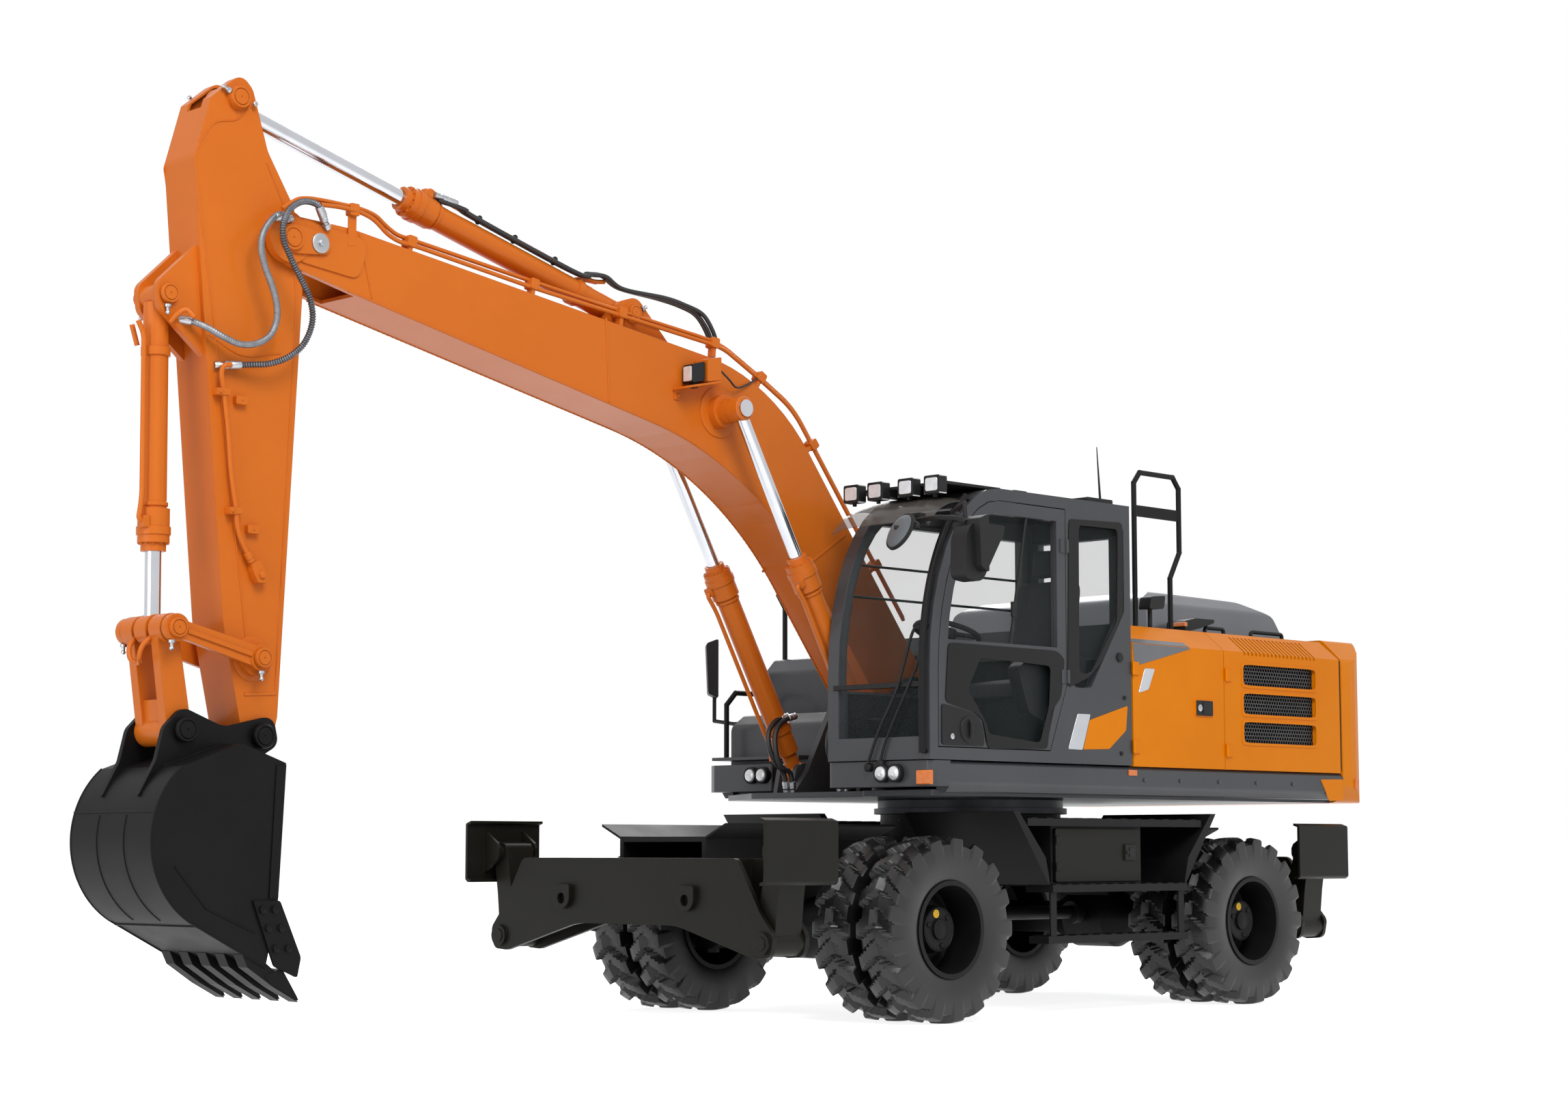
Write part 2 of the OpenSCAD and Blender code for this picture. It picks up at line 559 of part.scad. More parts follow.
// Counterweight: bowed tail with rounded corners and a sloped crown
module counterweight() placed() color(hood_orange) {
    bow = 110;
    plan = concat([[hood_x0, -upper_y]], tail_plan(-1, bow), tail_plan(1, bow), [[hood_x0, upper_y]]);
    intersection() {
        slab(sill_z0 - 12, hood_top_z + 16) polygon(plan);
        rib(-tail_x - 1, hood_x0) polygon(rounded([[-upper_y + 60, sill_z0 - 12], [upper_y - 60, sill_z0 - 12], [upper_y, sill_z0 + 90],
            [upper_y, hood_crease_z], [upper_y - hood_slope, hood_top_z + 16], [-upper_y + hood_slope, hood_top_z + 16],
            [-upper_y, hood_crease_z], [-upper_y, sill_z0 + 90]], [60, 60, 60, 60, 60, 60, 60, 60]));
        plate(-upper_y, upper_y) polygon(rounded([[-tail_x + 130, sill_z0 - 12], [hood_x0, sill_z0 - 12], [hood_x0, hood_top_z + 16],
            [-tail_x + 90, hood_top_z + 16], [-tail_x, hood_top_z - 160], [-tail_x, sill_z0 + 180]], [90, 0, 0, 90, 200, 200]));
    }
}
function tail_plan(side, bow) =
    let (r = tail_corner_r, cx = -tail_x + bow + r, cy = upper_y - r,
         arc = [for (i = [0 : 6]) [cx - r * sin(i * 13), side * (cy + r * cos(i * 13))]],
         rear = [for (i = [1 : 4]) [-tail_x + bow * (1 - i / 4) * (1 - i / 4), side * (cy + r * cos(78)) * (1 - i / 4)]])
    side < 0 ? concat(arc, rear) : [for (i = [len(arc) + len(rear) - 2 : -1 : 0]) concat(arc, rear)[i]];

// Hood: fixed roof and inner walls that carry the doors
roof_y = upper_y - hood_slope - 20;
lid_x0 = -2400;
lid_x1 = -880;
lid_y = 860;
module hood_body() placed() color(dark_grey) {
    difference() {
        box([hood_x0, -roof_y, hood_top_z - 40], [hood_x1, roof_y, hood_top_z]);
        box([lid_x0, -lid_y, hood_top_z - 41], [lid_x1, lid_y, hood_top_z + 1]);
    }
    // Bulkheads behind the cab, at the split and at the tail
    for (x = [hood_x1 - 24, hood_split_x - 24, hood_x0])
        difference() {
            box([x, -roof_y, deck_z + 34], [x + 24, roof_y, hood_top_z - 39]);
            if (x > hood_x0 + 1 && x < hood_x1 - 25)
                box([x - 1, -roof_y + 160, sill_z1 + 60], [x + 25, roof_y - 160, hood_top_z - 140]);
            // The towers' plates pass through the front one
            if (x > hood_x1 - 25)
                box([x - 1, -tower_y - tower_t - run_gap, deck_z + 33], [x + 25, tower_y + tower_t + run_gap, boom_foot_z]);
        }
    // Fixed right rear wall with its crease and a louvred vent field
    difference() {
        mirror([0, 1, 0]) hood_skin(hood_x0, hood_split_x - door_gap);
        for (i = [0 : 9]) box([hood_x0 + 300 + 80 * i, -upper_y - 1, 1800], [hood_x0 + 330 + 80 * i, -upper_y + hood_wall + 1, 2100]);
    }
}
module hood_skin(x0, x1) rib(x0, x1) polygon([[upper_y, sill_z1 + seat_gap], [upper_y, hood_crease_z], [upper_y - hood_slope, hood_top_z],
    [upper_y - hood_slope, hood_top_z - hood_wall], [upper_y - hood_wall, hood_crease_z - hood_wall / 2], [upper_y - hood_wall, sill_z1 + seat_gap]]);
// Hinge barrels of a side door on the line x at y, with leaves that reach to x1
hinge_out = 12;
module hinges(x, y, x1, zs) for (z = zs) {
    translate([x, y, z]) cylinder(r = 9.5, h = 80);
    box([min(x + 1, x1), y - hinge_out - 1, z], [max(x - 1, x1), y - 4, z + 80]);
}
module hood_door_front() placed() color(hood_orange) {
    hinges(hood_x1, upper_y + hinge_out, hood_x1 - 60, [1560, 2040]);
    hood_skin(hood_split_x + door_gap / 2, hood_x1 - door_gap);
    plate(upper_y - 1, upper_y + 8) rounded_rect([-1040, 1808], [-860, 1911], 12);
}
grille_x = [-2180, -1370];
grille_z = [1652, 1835, 2019];
grille_h = 140;
module hood_door_rear() placed() color(hood_orange) difference() {
    union() {
        hood_skin(hood_x0 + 26, hood_split_x - door_gap / 2);
        hinges(hood_split_x - 12, upper_y + hinge_out, hood_split_x - 70, [1560, 2040]);
    }
    for (z = grille_z) plate(upper_y - hood_wall - 1, upper_y + 1) rounded_rect([grille_x[0], z], [grille_x[1], z + grille_h], 14);
    for (i = [0 : 18]) box([grille_x[0] + 43 * i, upper_y - 130, 2215], [grille_x[0] + 43 * i + 20, upper_y + 1, 2335]);
}
module hood_door_right() placed() color(hood_orange) mirror([0, 1, 0]) {
    hood_skin(hood_split_x, hood_x1 - door_gap);
    hinges(hood_x1, upper_y + hinge_out, hood_x1 - 60, [1560, 2040]);
}
// Engine hood: domed lid with a raised air box
module engine_hood() placed() color(dark_grey) {
    z0 = hood_top_z + face_gap;
    top = hood_top_z + dome_h;
    difference() {
        dome(0, z0, top);
        dome(hood_wall, z0 - 1, top - hood_wall);
    }
    // Hinge barrels along the rear edge
    for (y = [-560, 440]) {
        bar_y([lid_x0 - 12, z0 + 13.5], 12, y, y + 120);
        box([lid_x0 - 11, y, z0 + 4], [lid_x0 + 12, y + 120, z0 + 23]);
    }
}
// Dome moved in by i, from z0 to its crown
module dome(i, z0, top) intersection() {
    plate(-lid_y + i, lid_y - i) polygon(rounded([[lid_x0 + i, z0], [lid_x1 - i, z0], [lid_x1 - i - 60, top - 60], [lid_x1 - i - 240, top],
        [lid_x0 + i + 360, top - 20], [lid_x0 + i + 90, top - 110]], [0, 0, 80, 200, 300, 90]));
    rib(lid_x0, lid_x1) polygon(rounded([[-lid_y + i, z0], [lid_y - i, z0], [lid_y - i - 40, top - 90], [lid_y - i - 160, top],
        [-lid_y + i + 160, top], [-lid_y + i + 40, top - 90]], [0, 0, 60, 120, 120, 60]));
}
module engine() placed() color(dark_grey) box([-2250, -520, deck_z + 34], [-1250, 520, 2180]);

// Fuel tank and tool locker ahead of it on the right, with a step
tank_x = [hood_x1 + 12, 480];
module right_tank() placed() color(dark_grey) {
    y = [-upper_y + 20, -tower_y - tower_t - 60];
    plate(y[0], y[1]) polygon(rounded([[tank_x[0], sill_z1 + seat_gap], [tank_x[1], sill_z1 + seat_gap], [tank_x[1], 2120], [tank_x[1] - 100, 2220],
        [tank_x[0], 2220]], [0, 0, 60, 60, 40]));
    plate(y[0] + 40, y[1] - 60) polygon(rounded([[tank_x[1], sill_z1 + seat_gap], [820, sill_z1 + seat_gap], [820, 1760], [700, 1840], [tank_x[1], 1840]],
        [0, 0, 60, 60, 0]));
    box([640, -upper_y + 110, deck_z + 34], [820, y[1] - 60, sill_z1 + seat_gap + 1]);
    box([820, y[0] + 40, 1540], [right_lamp_x - 10, y[1] - 100, 1560]);
}
module hand_rails() placed() color(black) {
    r = 17;
    // Hoop behind the cab
    pipe([[-540, 1040, hood_top_z], [-540, 1040, 3270], [-600, 1040, 3340], [-940, 1040, 3340], [-1000, 1040, 3270],
        [-1000, 1040, 2860], [-900, 1040, 2690], [-900, 1040, hood_top_z]], r);
    box([-990, 1032, 3060], [-550, 1048, 3130]);
    // Rails round the right deck
    pipe([[340, -1180, 2220], [340, -1180, 2560], [400, -1180, 2640], [400, -700, 2640], [340, -700, 2560], [340, -700, 2220]], r);
    pipe([[900, -1150, 1560], [900, -1150, 1900], [820, -1150, 1980], [600, -1150, 1980], [540, -1150, 1920], [540, -1150, 1840]], r);
}

// Side outline of the cab, moved in by i
function cab_profile(i) = concat([[cab_x0 + i, cab_z0 + i], [cab_x1 - i, cab_z0 + i]],
    [for (t = [0 : 10 : 90]) [cab_brow_x + (cab_x1 - cab_brow_x - i) * cos(t), cab_knee_z + (cab_z1 - cab_knee_z - i) * sin(t)]],
    [[cab_x0 + i, cab_z1 - i]]);
door_low = cab_z0 + 18;
door_notch = [180, 440];
module door_shape(g) intersection() {
    polygon(cab_profile(cab_pillar - 10 - g));
    polygon([[door_x0 + door_notch[0] - g, door_low - g], [cab_x1, door_low - g], [cab_x1, cab_z1], [door_x0 - g, cab_z1],
        [door_x0 - g, door_low + door_notch[1]]]);
}
module quarter_shape(g) polygon(rounded([[door_x0 - 70 + g, 1940 - g], [door_x0 - 70 + g, 2940 + g], [cab_x0 + 60 - g, 2940 + g],
    [cab_x0 + 60 - g, 2420], [170, 1940 - g]], [30, 30, 30, 60, 40]));
module right_shape(g) intersection() {
    polygon(cab_profile(cab_pillar + 15 - g));
    polygon([[cab_x0 + 140 - g, 1900 - g], [cab_x1, 1900 - g], [cab_x1, 2900 + g], [cab_x0 + 140 - g, 2900 + g]]);
}
screen_y = [cab_y0 + cab_pillar, upper_y - cab_pillar];
screen_z = [cab_z0 + 130, cab_z1 - 130];
module screen_cut(g) intersection() {
    box([cab_brow_x, screen_y[0] - g, screen_z[0] - g], [cab_x1 + 50, screen_y[1] + g, screen_z[1] + g]);
    translate([0, 0, 0]) plate(cab_y0, upper_y) difference() {
        polygon(cab_profile(-40));
        polygon(cab_profile(cab_wall + 40));
    }
}
rear_y = [cab_y0 + 120, upper_y - 120];
module cab_shell() placed() color(dark_grey) difference() {
    plate(cab_y0, upper_y) polygon(cab_profile(0));
    plate(cab_y0 + cab_wall, upper_y - cab_wall) polygon(cab_profile(cab_wall));
    screen_cut(0);
    plate(upper_y - cab_wall - 1, upper_y + 1) door_shape(door_gap);
    plate(upper_y - cab_wall - 1, upper_y + 1) quarter_shape(0);
    plate(cab_y0 - 1, cab_y0 + cab_wall + 1) right_shape(0);
    box([cab_x0 - 1, rear_y[0], 2150], [cab_x0 + cab_wall + 1, rear_y[1], 2880]);
}
module cab_glass() placed() color(glass_tint) {
    intersection() {
        screen_cut(-seat_gap);
        plate(cab_y0, upper_y) difference() {
            polygon(cab_profile(14));
            polygon(cab_profile(14 + glass_t));
        }
    }
    plate(upper_y - 22 - glass_t, upper_y - 22) quarter_shape(-seat_gap);
    plate(cab_y0 + 22, cab_y0 + 22 + glass_t) right_shape(-seat_gap);
    box([cab_x0 + 22, rear_y[0] + seat_gap, 2150 + seat_gap], [cab_x0 + 22 + glass_t, rear_y[1] - seat_gap, 2880 - seat_gap]);
}
module upper_pane(g) intersection() {
    polygon(cab_profile(cab_pillar + 60 - g));
    polygon([[door_x0 + 80 - g, 2170 - g], [cab_x1, 2170 - g], [cab_x1, 2925 + g], [door_x0 + 80 - g, 2925 + g]]);
}
module lower_pane(g) polygon(rounded([[door_x0 + 190 - g, 1580 - g], [1130 + g, 1580 - g], [1180 + g, 1770], [1420 + g, 1840], [1420 + g, 2130 + g],
    [door_x0 + 60 - g, 2130 + g], [door_x0 + 30 - g, 2050]], [30, 30, 60, 30, 30, 30, 30]));
module cab_door() placed() color(dark_grey) {
    difference() {
        plate(upper_y - cab_wall + 8, upper_y) door_shape(0);
        plate(upper_y - cab_wall, upper_y + 1) upper_pane(0);
        plate(upper_y - cab_wall, upper_y + 1) lower_pane(0);
    }
    hinges(door_x0 - door_gap, upper_y + hinge_out, door_x0 + 50, [1960, 2740]);
}
module door_glass() placed() color(glass_tint) {
    plate(upper_y - 26 - glass_t, upper_y - 26) upper_pane(-seat_gap);
    plate(upper_y - 26 - glass_t, upper_y - 26) lower_pane(-seat_gap);
}
floor_z = cab_z0 + cab_wall;
seat_at = [330, (cab_y0 + upper_y) / 2];
module seat_base() placed() color(black) {
    box([seat_at[0] - 220, seat_at[1] - 230, floor_z], [seat_at[0] + 240, seat_at[1] + 230, floor_z + 330]);
    // Consoles with armrests
    for (s = [-1, 1]) plate(seat_at[1] + s * 286 - 44, seat_at[1] + s * 286 + 44) polygon(rounded([[seat_at[0] - 150, floor_z + 60],
        [seat_at[0] + 330, floor_z + 240], [seat_at[0] + 430, floor_z + 500], [seat_at[0] + 330, floor_z + 560], [seat_at[0] - 200, floor_z + 600],
        [seat_at[0] - 200, floor_z + 540]], [30, 60, 40, 40, 20, 20]));
    box([seat_at[0] - 150, seat_at[1] - 250, floor_z + 20], [seat_at[0] + 150, seat_at[1] + 250, floor_z + 120]);
}
module seat_cushion() placed() color(black) {
    plate(seat_at[1] - 235, seat_at[1] + 235) polygon(rounded([[seat_at[0] - 230, floor_z + 330.5], [seat_at[0] + 290, floor_z + 330.5],
        [seat_at[0] + 290, floor_z + 450], [seat_at[0] - 230, floor_z + 430]], [20, 40, 50, 20]));
    plate(seat_at[1] - 225, seat_at[1] + 225) polygon(rounded([[seat_at[0] - 230, floor_z + 430.5], [seat_at[0] - 100, floor_z + 435.5],
        [seat_at[0] - 190, floor_z + 1160], [seat_at[0] - 330, floor_z + 1150]], [20, 20, 60, 60]));
}
module controls() placed() color(black) {
    // Steering column and wheel
    pipe([[1180, seat_at[1], floor_z], [1180, seat_at[1], floor_z + 240], [1020, seat_at[1], floor_z + 690]], 45);
    translate([1020, seat_at[1], floor_z + 690]) rotate([0, -18, 0]) {
        rotate_extrude($fn = 32) translate([190, 20]) circle(r = 17, $fn = 8);
        for (a = [0, 120, 240]) rotate([0, 0, a]) translate([0, -14, 10]) cube([185, 28, 20]);
        translate([0, 0, -20]) cylinder(r = 58, h = 60, $fn = 12);
    }
    // Pedals
    for (y = [-200, 200]) plate(seat_at[1] + y - 45, seat_at[1] + y + 45) polygon([[1300, floor_z], [1330, floor_z], [1440, floor_z + 190], [1415, floor_z + 200]]);
}
left_mirror = [1600, 1560, 2680];
right_mirror = [690, -1505, 2155];
module mirror_head(at, h, turn = 0) translate(at) rotate([0, 0, turn])
    plate(-100, 100) polygon(rounded([[-36, -h / 2], [30, -h / 2 + 30], [44, h / 2 - 30], [-36, h / 2]], [10, 20, 20, 10]));
module mirrors() placed() color(black) {
    mirror_head(left_mirror, 330);
    pipe([left_mirror + [0, -40, 90], left_mirror + [-10, -60, 235], [1500, 1330, 2890], [1330, 1300, 2860], [1330, upper_y, 2860]], 13);
    mirror_head(right_mirror, 390, -41);
    pipe([right_mirror + [0, 20, -90], right_mirror + [0, 20, -340], [690, -1300, 1790], [690, -upper_y + 60, 1790]], 13);
}
module lamp(at, r) translate(at) rotate([0, 90, 0]) cylinder(r1 = r, r2 = r * 0.94, h = 26);
module lamps() placed() color("#E8E8E4") {
    for (y = [885, 989]) lamp([lamp_x, y, 1410], 42);
    for (y = [-800, -700]) lamp([right_lamp_x, y, 1440], 42);
    // Work lamps on a plate over the cab's brow
    for (y = [47, 240, 483, 688]) translate([cab_brow_x + 400, cab_y0 + y - 60, cab_z1 - 60]) cube([60, 120, 104]);
    box([cab_brow_x - 80, cab_y0 + 10, cab_z1], [cab_brow_x + 401, upper_y - 60, cab_z1 + 14]);
}

// Boom: bent box beam with a forked tip and a boss for each cylinder
fork_l = 432;
fork_x = boom_reach - fork_l;
module boom_outline(i) {
    along_low = unit(boom_tip - elbow_low);
    up = left_of(unit(boom_tip - elbow_top));
    back = left_of(unit(elbow_top - boom_foot));
    polygon(rounded([boom_foot + back * (boom_foot_r + 30 - i), elbow_top - up * i, boom_tip + [-380, 112 - i], boom_tip + [0, boom_tip_r - i],
        boom_tip + [40 - i, -boom_tip_r + i], boom_tip + [-367, -219 + i], elbow_low + up * i, boom_foot - back * (boom_foot_r + 30 - i)],
        [0, 1300, 200, 60, 60, 200, 2300, 0], 10));
}
module boom() placed() color(orange) {
    half = cheek_y;
    difference() {
        union() {
            plate(-half, half) difference() {
                boom_outline(0);
            }
            bar_y(boom_foot, boom_foot_r, -half, half);
            bar_y(boom_tip, boom_tip_r, -half - 14, half + 14);
            both_sides() {
                bar_y(boom_cyl_eye, 96, half - 1, boss_len - 60);
                bar_y(boom_cyl_eye, 72, half - 1, boss_len);
                plate(half - 1, half + 10) boom_patch();
            }
            // Foot of the arm cylinder: two lugs on the boom's back
            for (s = [-1, 1]) plate(s * 92 - 17, s * 92 + 17) polygon(rounded([arm_cyl_foot + [-330, -180], arm_cyl_foot + [300, -140],
                arm_cyl_foot + [85, 60], arm_cyl_foot + [-40, 100]], [0, 0, 80, 80]));
            for (s = [-1, 1]) bar_y(arm_cyl_foot, 60, s * 101 - 25, s * 101 + 25);
        }
        // Hollow of the beam, open at the fork
        plate(-half + boom_wall, half - boom_wall) difference() {
            boom_outline(boom_wall);
            translate(boom_foot) circle(r = boom_foot_r + 30);
        }
        // Slot of the fork for the arm
        plate(-arm_y - run_gap, arm_y + run_gap) polygon([boom_foot + [fork_x, 3000], boom_foot + [fork_x, 1000], boom_tip + [400, -700],
            boom_tip + [400, 700]]);
        bar_y(boom_foot, 52 + pin_gap, -half - 1, half + 1);
    }
    bar_y(boom_tip, 50, -half - 30, half + 30);
    bar_y(arm_cyl_foot, 40, -140, 140);
}
module boom_patch() polygon(rounded([boom_tip + [-60, -110], boom_tip + [-430, -150], boom_tip + [-500, 60], boom_tip + [-40, 118]],
    [40, 60, 60, 40]));

// Cylinder tube from base p towards q, in the plane at y: eye, tube, head
module tube_part(p, q, y, d, rod_d, l, eye_r, eye_w, pin_r) {
    a = bearing_of(q - p);
    wide = d > eye_w;
    neck = wide ? 150 : 0.6 * eye_r;
    translate([p[0], y, p[1]]) rotate([0, -a, 0]) difference() {
        union() {
            rotate([90, 0, 0]) translate([0, 0, -eye_w / 2]) cylinder(r = eye_r, h = eye_w);
            if (wide) translate([0.6 * eye_r, 0, 0]) rotate([0, 90, 0]) cylinder(r = eye_w / 2 - 3, h = neck);
            translate([neck, 0, 0]) rotate([0, 90, 0]) cylinder(r = d / 2, h = l - neck - 30);
            translate([l - 210, 0, 0]) rotate([0, 90, 0]) cylinder(r = d / 2 + 16, h = 170);
            translate([l - 41, 0, 0]) rotate([0, 90, 0]) cylinder(r = rod_d / 2 + 22, h = 41);
        }
        translate([eye_r + 20, 0, 0]) rotate([0, 90, 0]) cylinder(r = rod_d / 2 + pin_gap, h = l);
        rotate([90, 0, 0]) translate([0, 0, -eye_w]) cylinder(r = pin_r + pin_gap, h = 2 * eye_w);
    }
}
// Rod from inside the tube to its eye at q; start is measured from base p
module rod_part(p, q, y, rod_d, start, eye_r, eye_w) {
    a = bearing_of(q - p);
    l = norm(q - p);
    translate([p[0], y, p[1]]) rotate([0, -a, 0]) {
        translate([start, 0, 0]) rotate([0, 90, 0]) cylinder(r = rod_d / 2, h = l - start - 0.5 * eye_r);
        translate([l, 0, 0]) rotate([90, 0, 0]) translate([0, 0, -eye_w / 2]) cylinder(r = eye_r, h = eye_w);
        translate([l, 0, 0]) rotate([90, 0, 0]) translate([0, 0, -eye_w / 2 - 12]) cylinder(r = 0.55 * eye_r, h = eye_w + 24);
    }
}
module boom_tubes() placed() color(orange) both_sides()
    tube_part(boom_cyl_base, boom_cyl_eye, boom_cyl_y, boom_tube_d, boom_rod_d, boom_tube_l, 72, 100, 42);
module boom_rods() placed() color("#C8C8CA") both_sides() boom_rod_side();
module boom_rod_side() {
    a = bearing_of(boom_cyl_eye - boom_cyl_base);
    l = norm(boom_cyl_eye - boom_cyl_base);
    translate([boom_cyl_base[0], boom_cyl_y, boom_cyl_base[1]]) rotate([0, -a, 0]) {
        translate([970, 0, 0]) rotate([0, 90, 0]) cylinder(r = boom_rod_d / 2, h = l - 970 - 30);
        translate([l, 0, 0]) rotate([90, 0, 0]) translate([0, 0, -50]) cylinder(r = 68, h = 100);
        translate([l, 0, 0]) rotate([90, 0, 0]) translate([0, 0, -66]) cylinder(r = 50, h = 66);
    }
}
module arm_tube() placed() color(orange)
    tube_part(arm_cyl_foot, arm_top, 0, arm_tube_d, arm_rod_d, arm_tube_l, 76, 2 * lug_y - 2 * face_gap, 40);
module arm_rod() placed() color("#C8C8CA") rod_part(arm_cyl_foot, arm_top, 0, arm_rod_d, 1080, 74, 96);

// Arm: tapered box with a tall head, cylinder lugs and bosses
module arm_outline(i) polygon(rounded([arm_top + [-90 + i, 60], arm_top + [-20, 130 - i], boom_tip + [456 - i, 660], boom_tip + [545 - i, 345],
    boom_tip + [533 - i, 220], bucket_pin + [210 - i, 560], bucket_pin + [96 - i, 60], bucket_pin + [70, -80 + i], bucket_pin + [-80 + i, -70],
    bucket_pin + [-122 + i, 100], boom_tip + [-118 + i, -250], boom_tip + [-60 + i, 170], boom_tip + [110 + i, 440]],
    [80, 60, 20, 120, 120, 600, 60, 50, 60, 60, 200, 200, 200]));
module arm() placed() color(orange) {
    difference() {
        union() {
            plate(-arm_y, arm_y) arm_outline(0);
            bar_y(boom_tip, 165, -arm_y, arm_y);
            bar_y(bucket_pin, 100, -arm_y, arm_y);
            both_sides() {
                bar_y(rocker_pin, 88, arm_y - 1, rocker_y - face_gap);
                bar_y(arm_top, 62, arm_y - 1, arm_y + 24);
            }
            // Lugs on the arm's front for the bucket cylinder
            for (s = [-1, 1]) plate(s * 86 - 20, s * 86 + 20) polygon(rounded([bucket_cyl_foot + [-190, 300], bucket_cyl_foot + [-260, -330],
                bucket_cyl_foot + [50, -74], bucket_cyl_foot + [66, 50]], [0, 0, 70, 70]));
        }
        // Hollow of the box
        plate(-arm_y + arm_wall, arm_y - arm_wall) difference() {
            arm_outline(arm_wall);
            translate(boom_tip) circle(r = 170);
            translate(bucket_pin) circle(r = 190);
        }
        // Slot for the arm cylinder's rod eye
        plate(-lug_y + 10, lug_y - 10) translate(arm_top) polygon([[-400, 300], [-400, -110], [60, -130], [140, -75], [200, -60],
            [200, 300]]);
        bar_y(boom_tip, 50 + pin_gap, -arm_y - 1, arm_y + 1);
        // Slot between the bucket cylinder's lugs
        plate(-66, 66) translate(bucket_cyl_foot) polygon(rounded([[-100, 330], [-100, -420], [200, -420], [200, 330]], [60, 60, 0, 0]));
    }
    both_sides() bar_y(bucket_pin, 44, arm_y - 20, ear_y + ear_t + 16);
    both_sides() bar_y(rocker_pin, 42, rocker_y - 20, rocker_y + rocker_t + 14);
    bar_y(bucket_cyl_foot, 38, -116, 116);
}
module bucket_tube() placed() color(orange)
    tube_part(bucket_cyl_foot, link_top, 0, bucket_tube_d, bucket_rod_d, bucket_tube_l, 58, 130, 38);
module bucket_rod() placed() color("#C8C8CA") rod_part(bucket_cyl_foot, link_top, 0, bucket_rod_d, 480, 74, 100);
// Rocker levers outside the arm
module rockers() placed() color(orange) both_sides() difference() {
    union() {
        bar_y(rocker_pin, 66, rocker_y, rocker_y + rocker_t);
        bar_y(link_top, 68, rocker_y, rocker_y + rocker_t);
        plate(rocker_y + 4, rocker_y + rocker_t - 4) polygon([rocker_pin + [-10, 52], rocker_pin + [10, -52], link_top + [10, -40], link_top + [-10, 44]]);
    }
    bar_y(rocker_pin, 42 + pin_gap, rocker_y - 1, rocker_y + rocker_t + 1);
}
// Link between rockers and bucket: one wide lower eye and two upper lugs
module bucket_link() placed() color(orange) difference() {
    union() {
        bar_y(link_low, 76, -ear_y + face_gap, ear_y - face_gap);
        both_sides() {
            bar_y(link_top, 72, lug_y, ear_y + ear_t);
            plate(lug_y, ear_y - 10) polygon([link_low + [-66, 20], link_low + [70, 0], link_top + [62, 0], link_top + [-58, 10]]);
        }
        plate(-ear_y + 10, ear_y - 10) polygon([link_low + [-50, 20], link_low + [56, 10], link_low + [70, 150], link_low + [-30, 150]]);
    }
    bar_y(link_low, 42 + pin_gap, -ear_y - 1, ear_y + 1);
}
// Bucket: bent wrapper, side plates, ears and cutting lip
wrap_r = 455;
wrap_c = bucket_pin + [278, -512];
lip = bucket_pin + [75, -1130];
floor_dir = unit(lip - wrap_c - wrap_r * [cos(-60), sin(-60)]);
floor_out = left_of(floor_dir);
module bucket_side(i = 0) polygon(concat([bucket_pin + [234, -46 - i], bucket_pin + [-24 + i, -136 - i],
    bucket_pin + [10 + i, -830], lip + [i, i]], [for (t = [-60 : 10 : 50]) wrap_c + (wrap_r - i) * [cos(t), sin(t)]]));
module bucket_inside() polygon(concat([bucket_pin + [240, -66 - bucket_wall], bucket_pin + [-60, -136 - bucket_wall],
    bucket_pin + [-40, -830], lip + [-60, 26]], [for (t = [-60 : 10 : 50]) wrap_c + (wrap_r - bucket_wall) * [cos(t), sin(t)]]));
module bucket() placed() color(black) {
    half = bucket_w / 2;
    difference() {
        plate(-half, half) bucket_side();
        plate(-half + bucket_wall, half - bucket_wall) bucket_inside();
    }
    // Ears that hold the arm's pin and the link's pin
    both_sides() difference() {
        plate(ear_y, ear_y + ear_t) polygon(rounded([bucket_pin + [-105, -40], bucket_pin + [-70, 105], bucket_pin + [220, 40], link_low + [10, 112],
            link_low + [112, 10], bucket_pin + [600, -130], bucket_pin + [694, -300], bucket_pin + [560, -260],
            bucket_pin + [400, -180], bucket_pin + [234, -60], bucket_pin + [60, -136]], [60, 60, 150, 70, 70, 60, 0, 0, 0, 0, 40]));
        bar_y(bucket_pin, 44 + pin_gap, ear_y - 1, ear_y + ear_t + 1);
        plate(ear_y - 1, ear_y + ear_t + 1) bucket_side(bucket_wall / 2);
    }
    bar_y(link_low, 42, -ear_y - ear_t - 14, ear_y + ear_t + 14);
}
// Teeth along the lip and side cutters on the plates
module bucket_teeth() placed() color(black) {
    span = bucket_w - tooth_w - 8;
    for (i = [0 : tooth_count - 1]) {
        y = -span / 2 + span * i / (tooth_count - 1);
        plate(y - tooth_w / 2, y + tooth_w / 2) polygon([for (k = [[-150, 0.6], [0.6, 0.6], [0.6, -20], [60, -10]])
            lip + k[0] * floor_dir + k[1] * floor_out, tooth_tip, lip + 90 * floor_dir + 62 * floor_out, lip - 90 * floor_dir + 44 * floor_out]);
    }
}

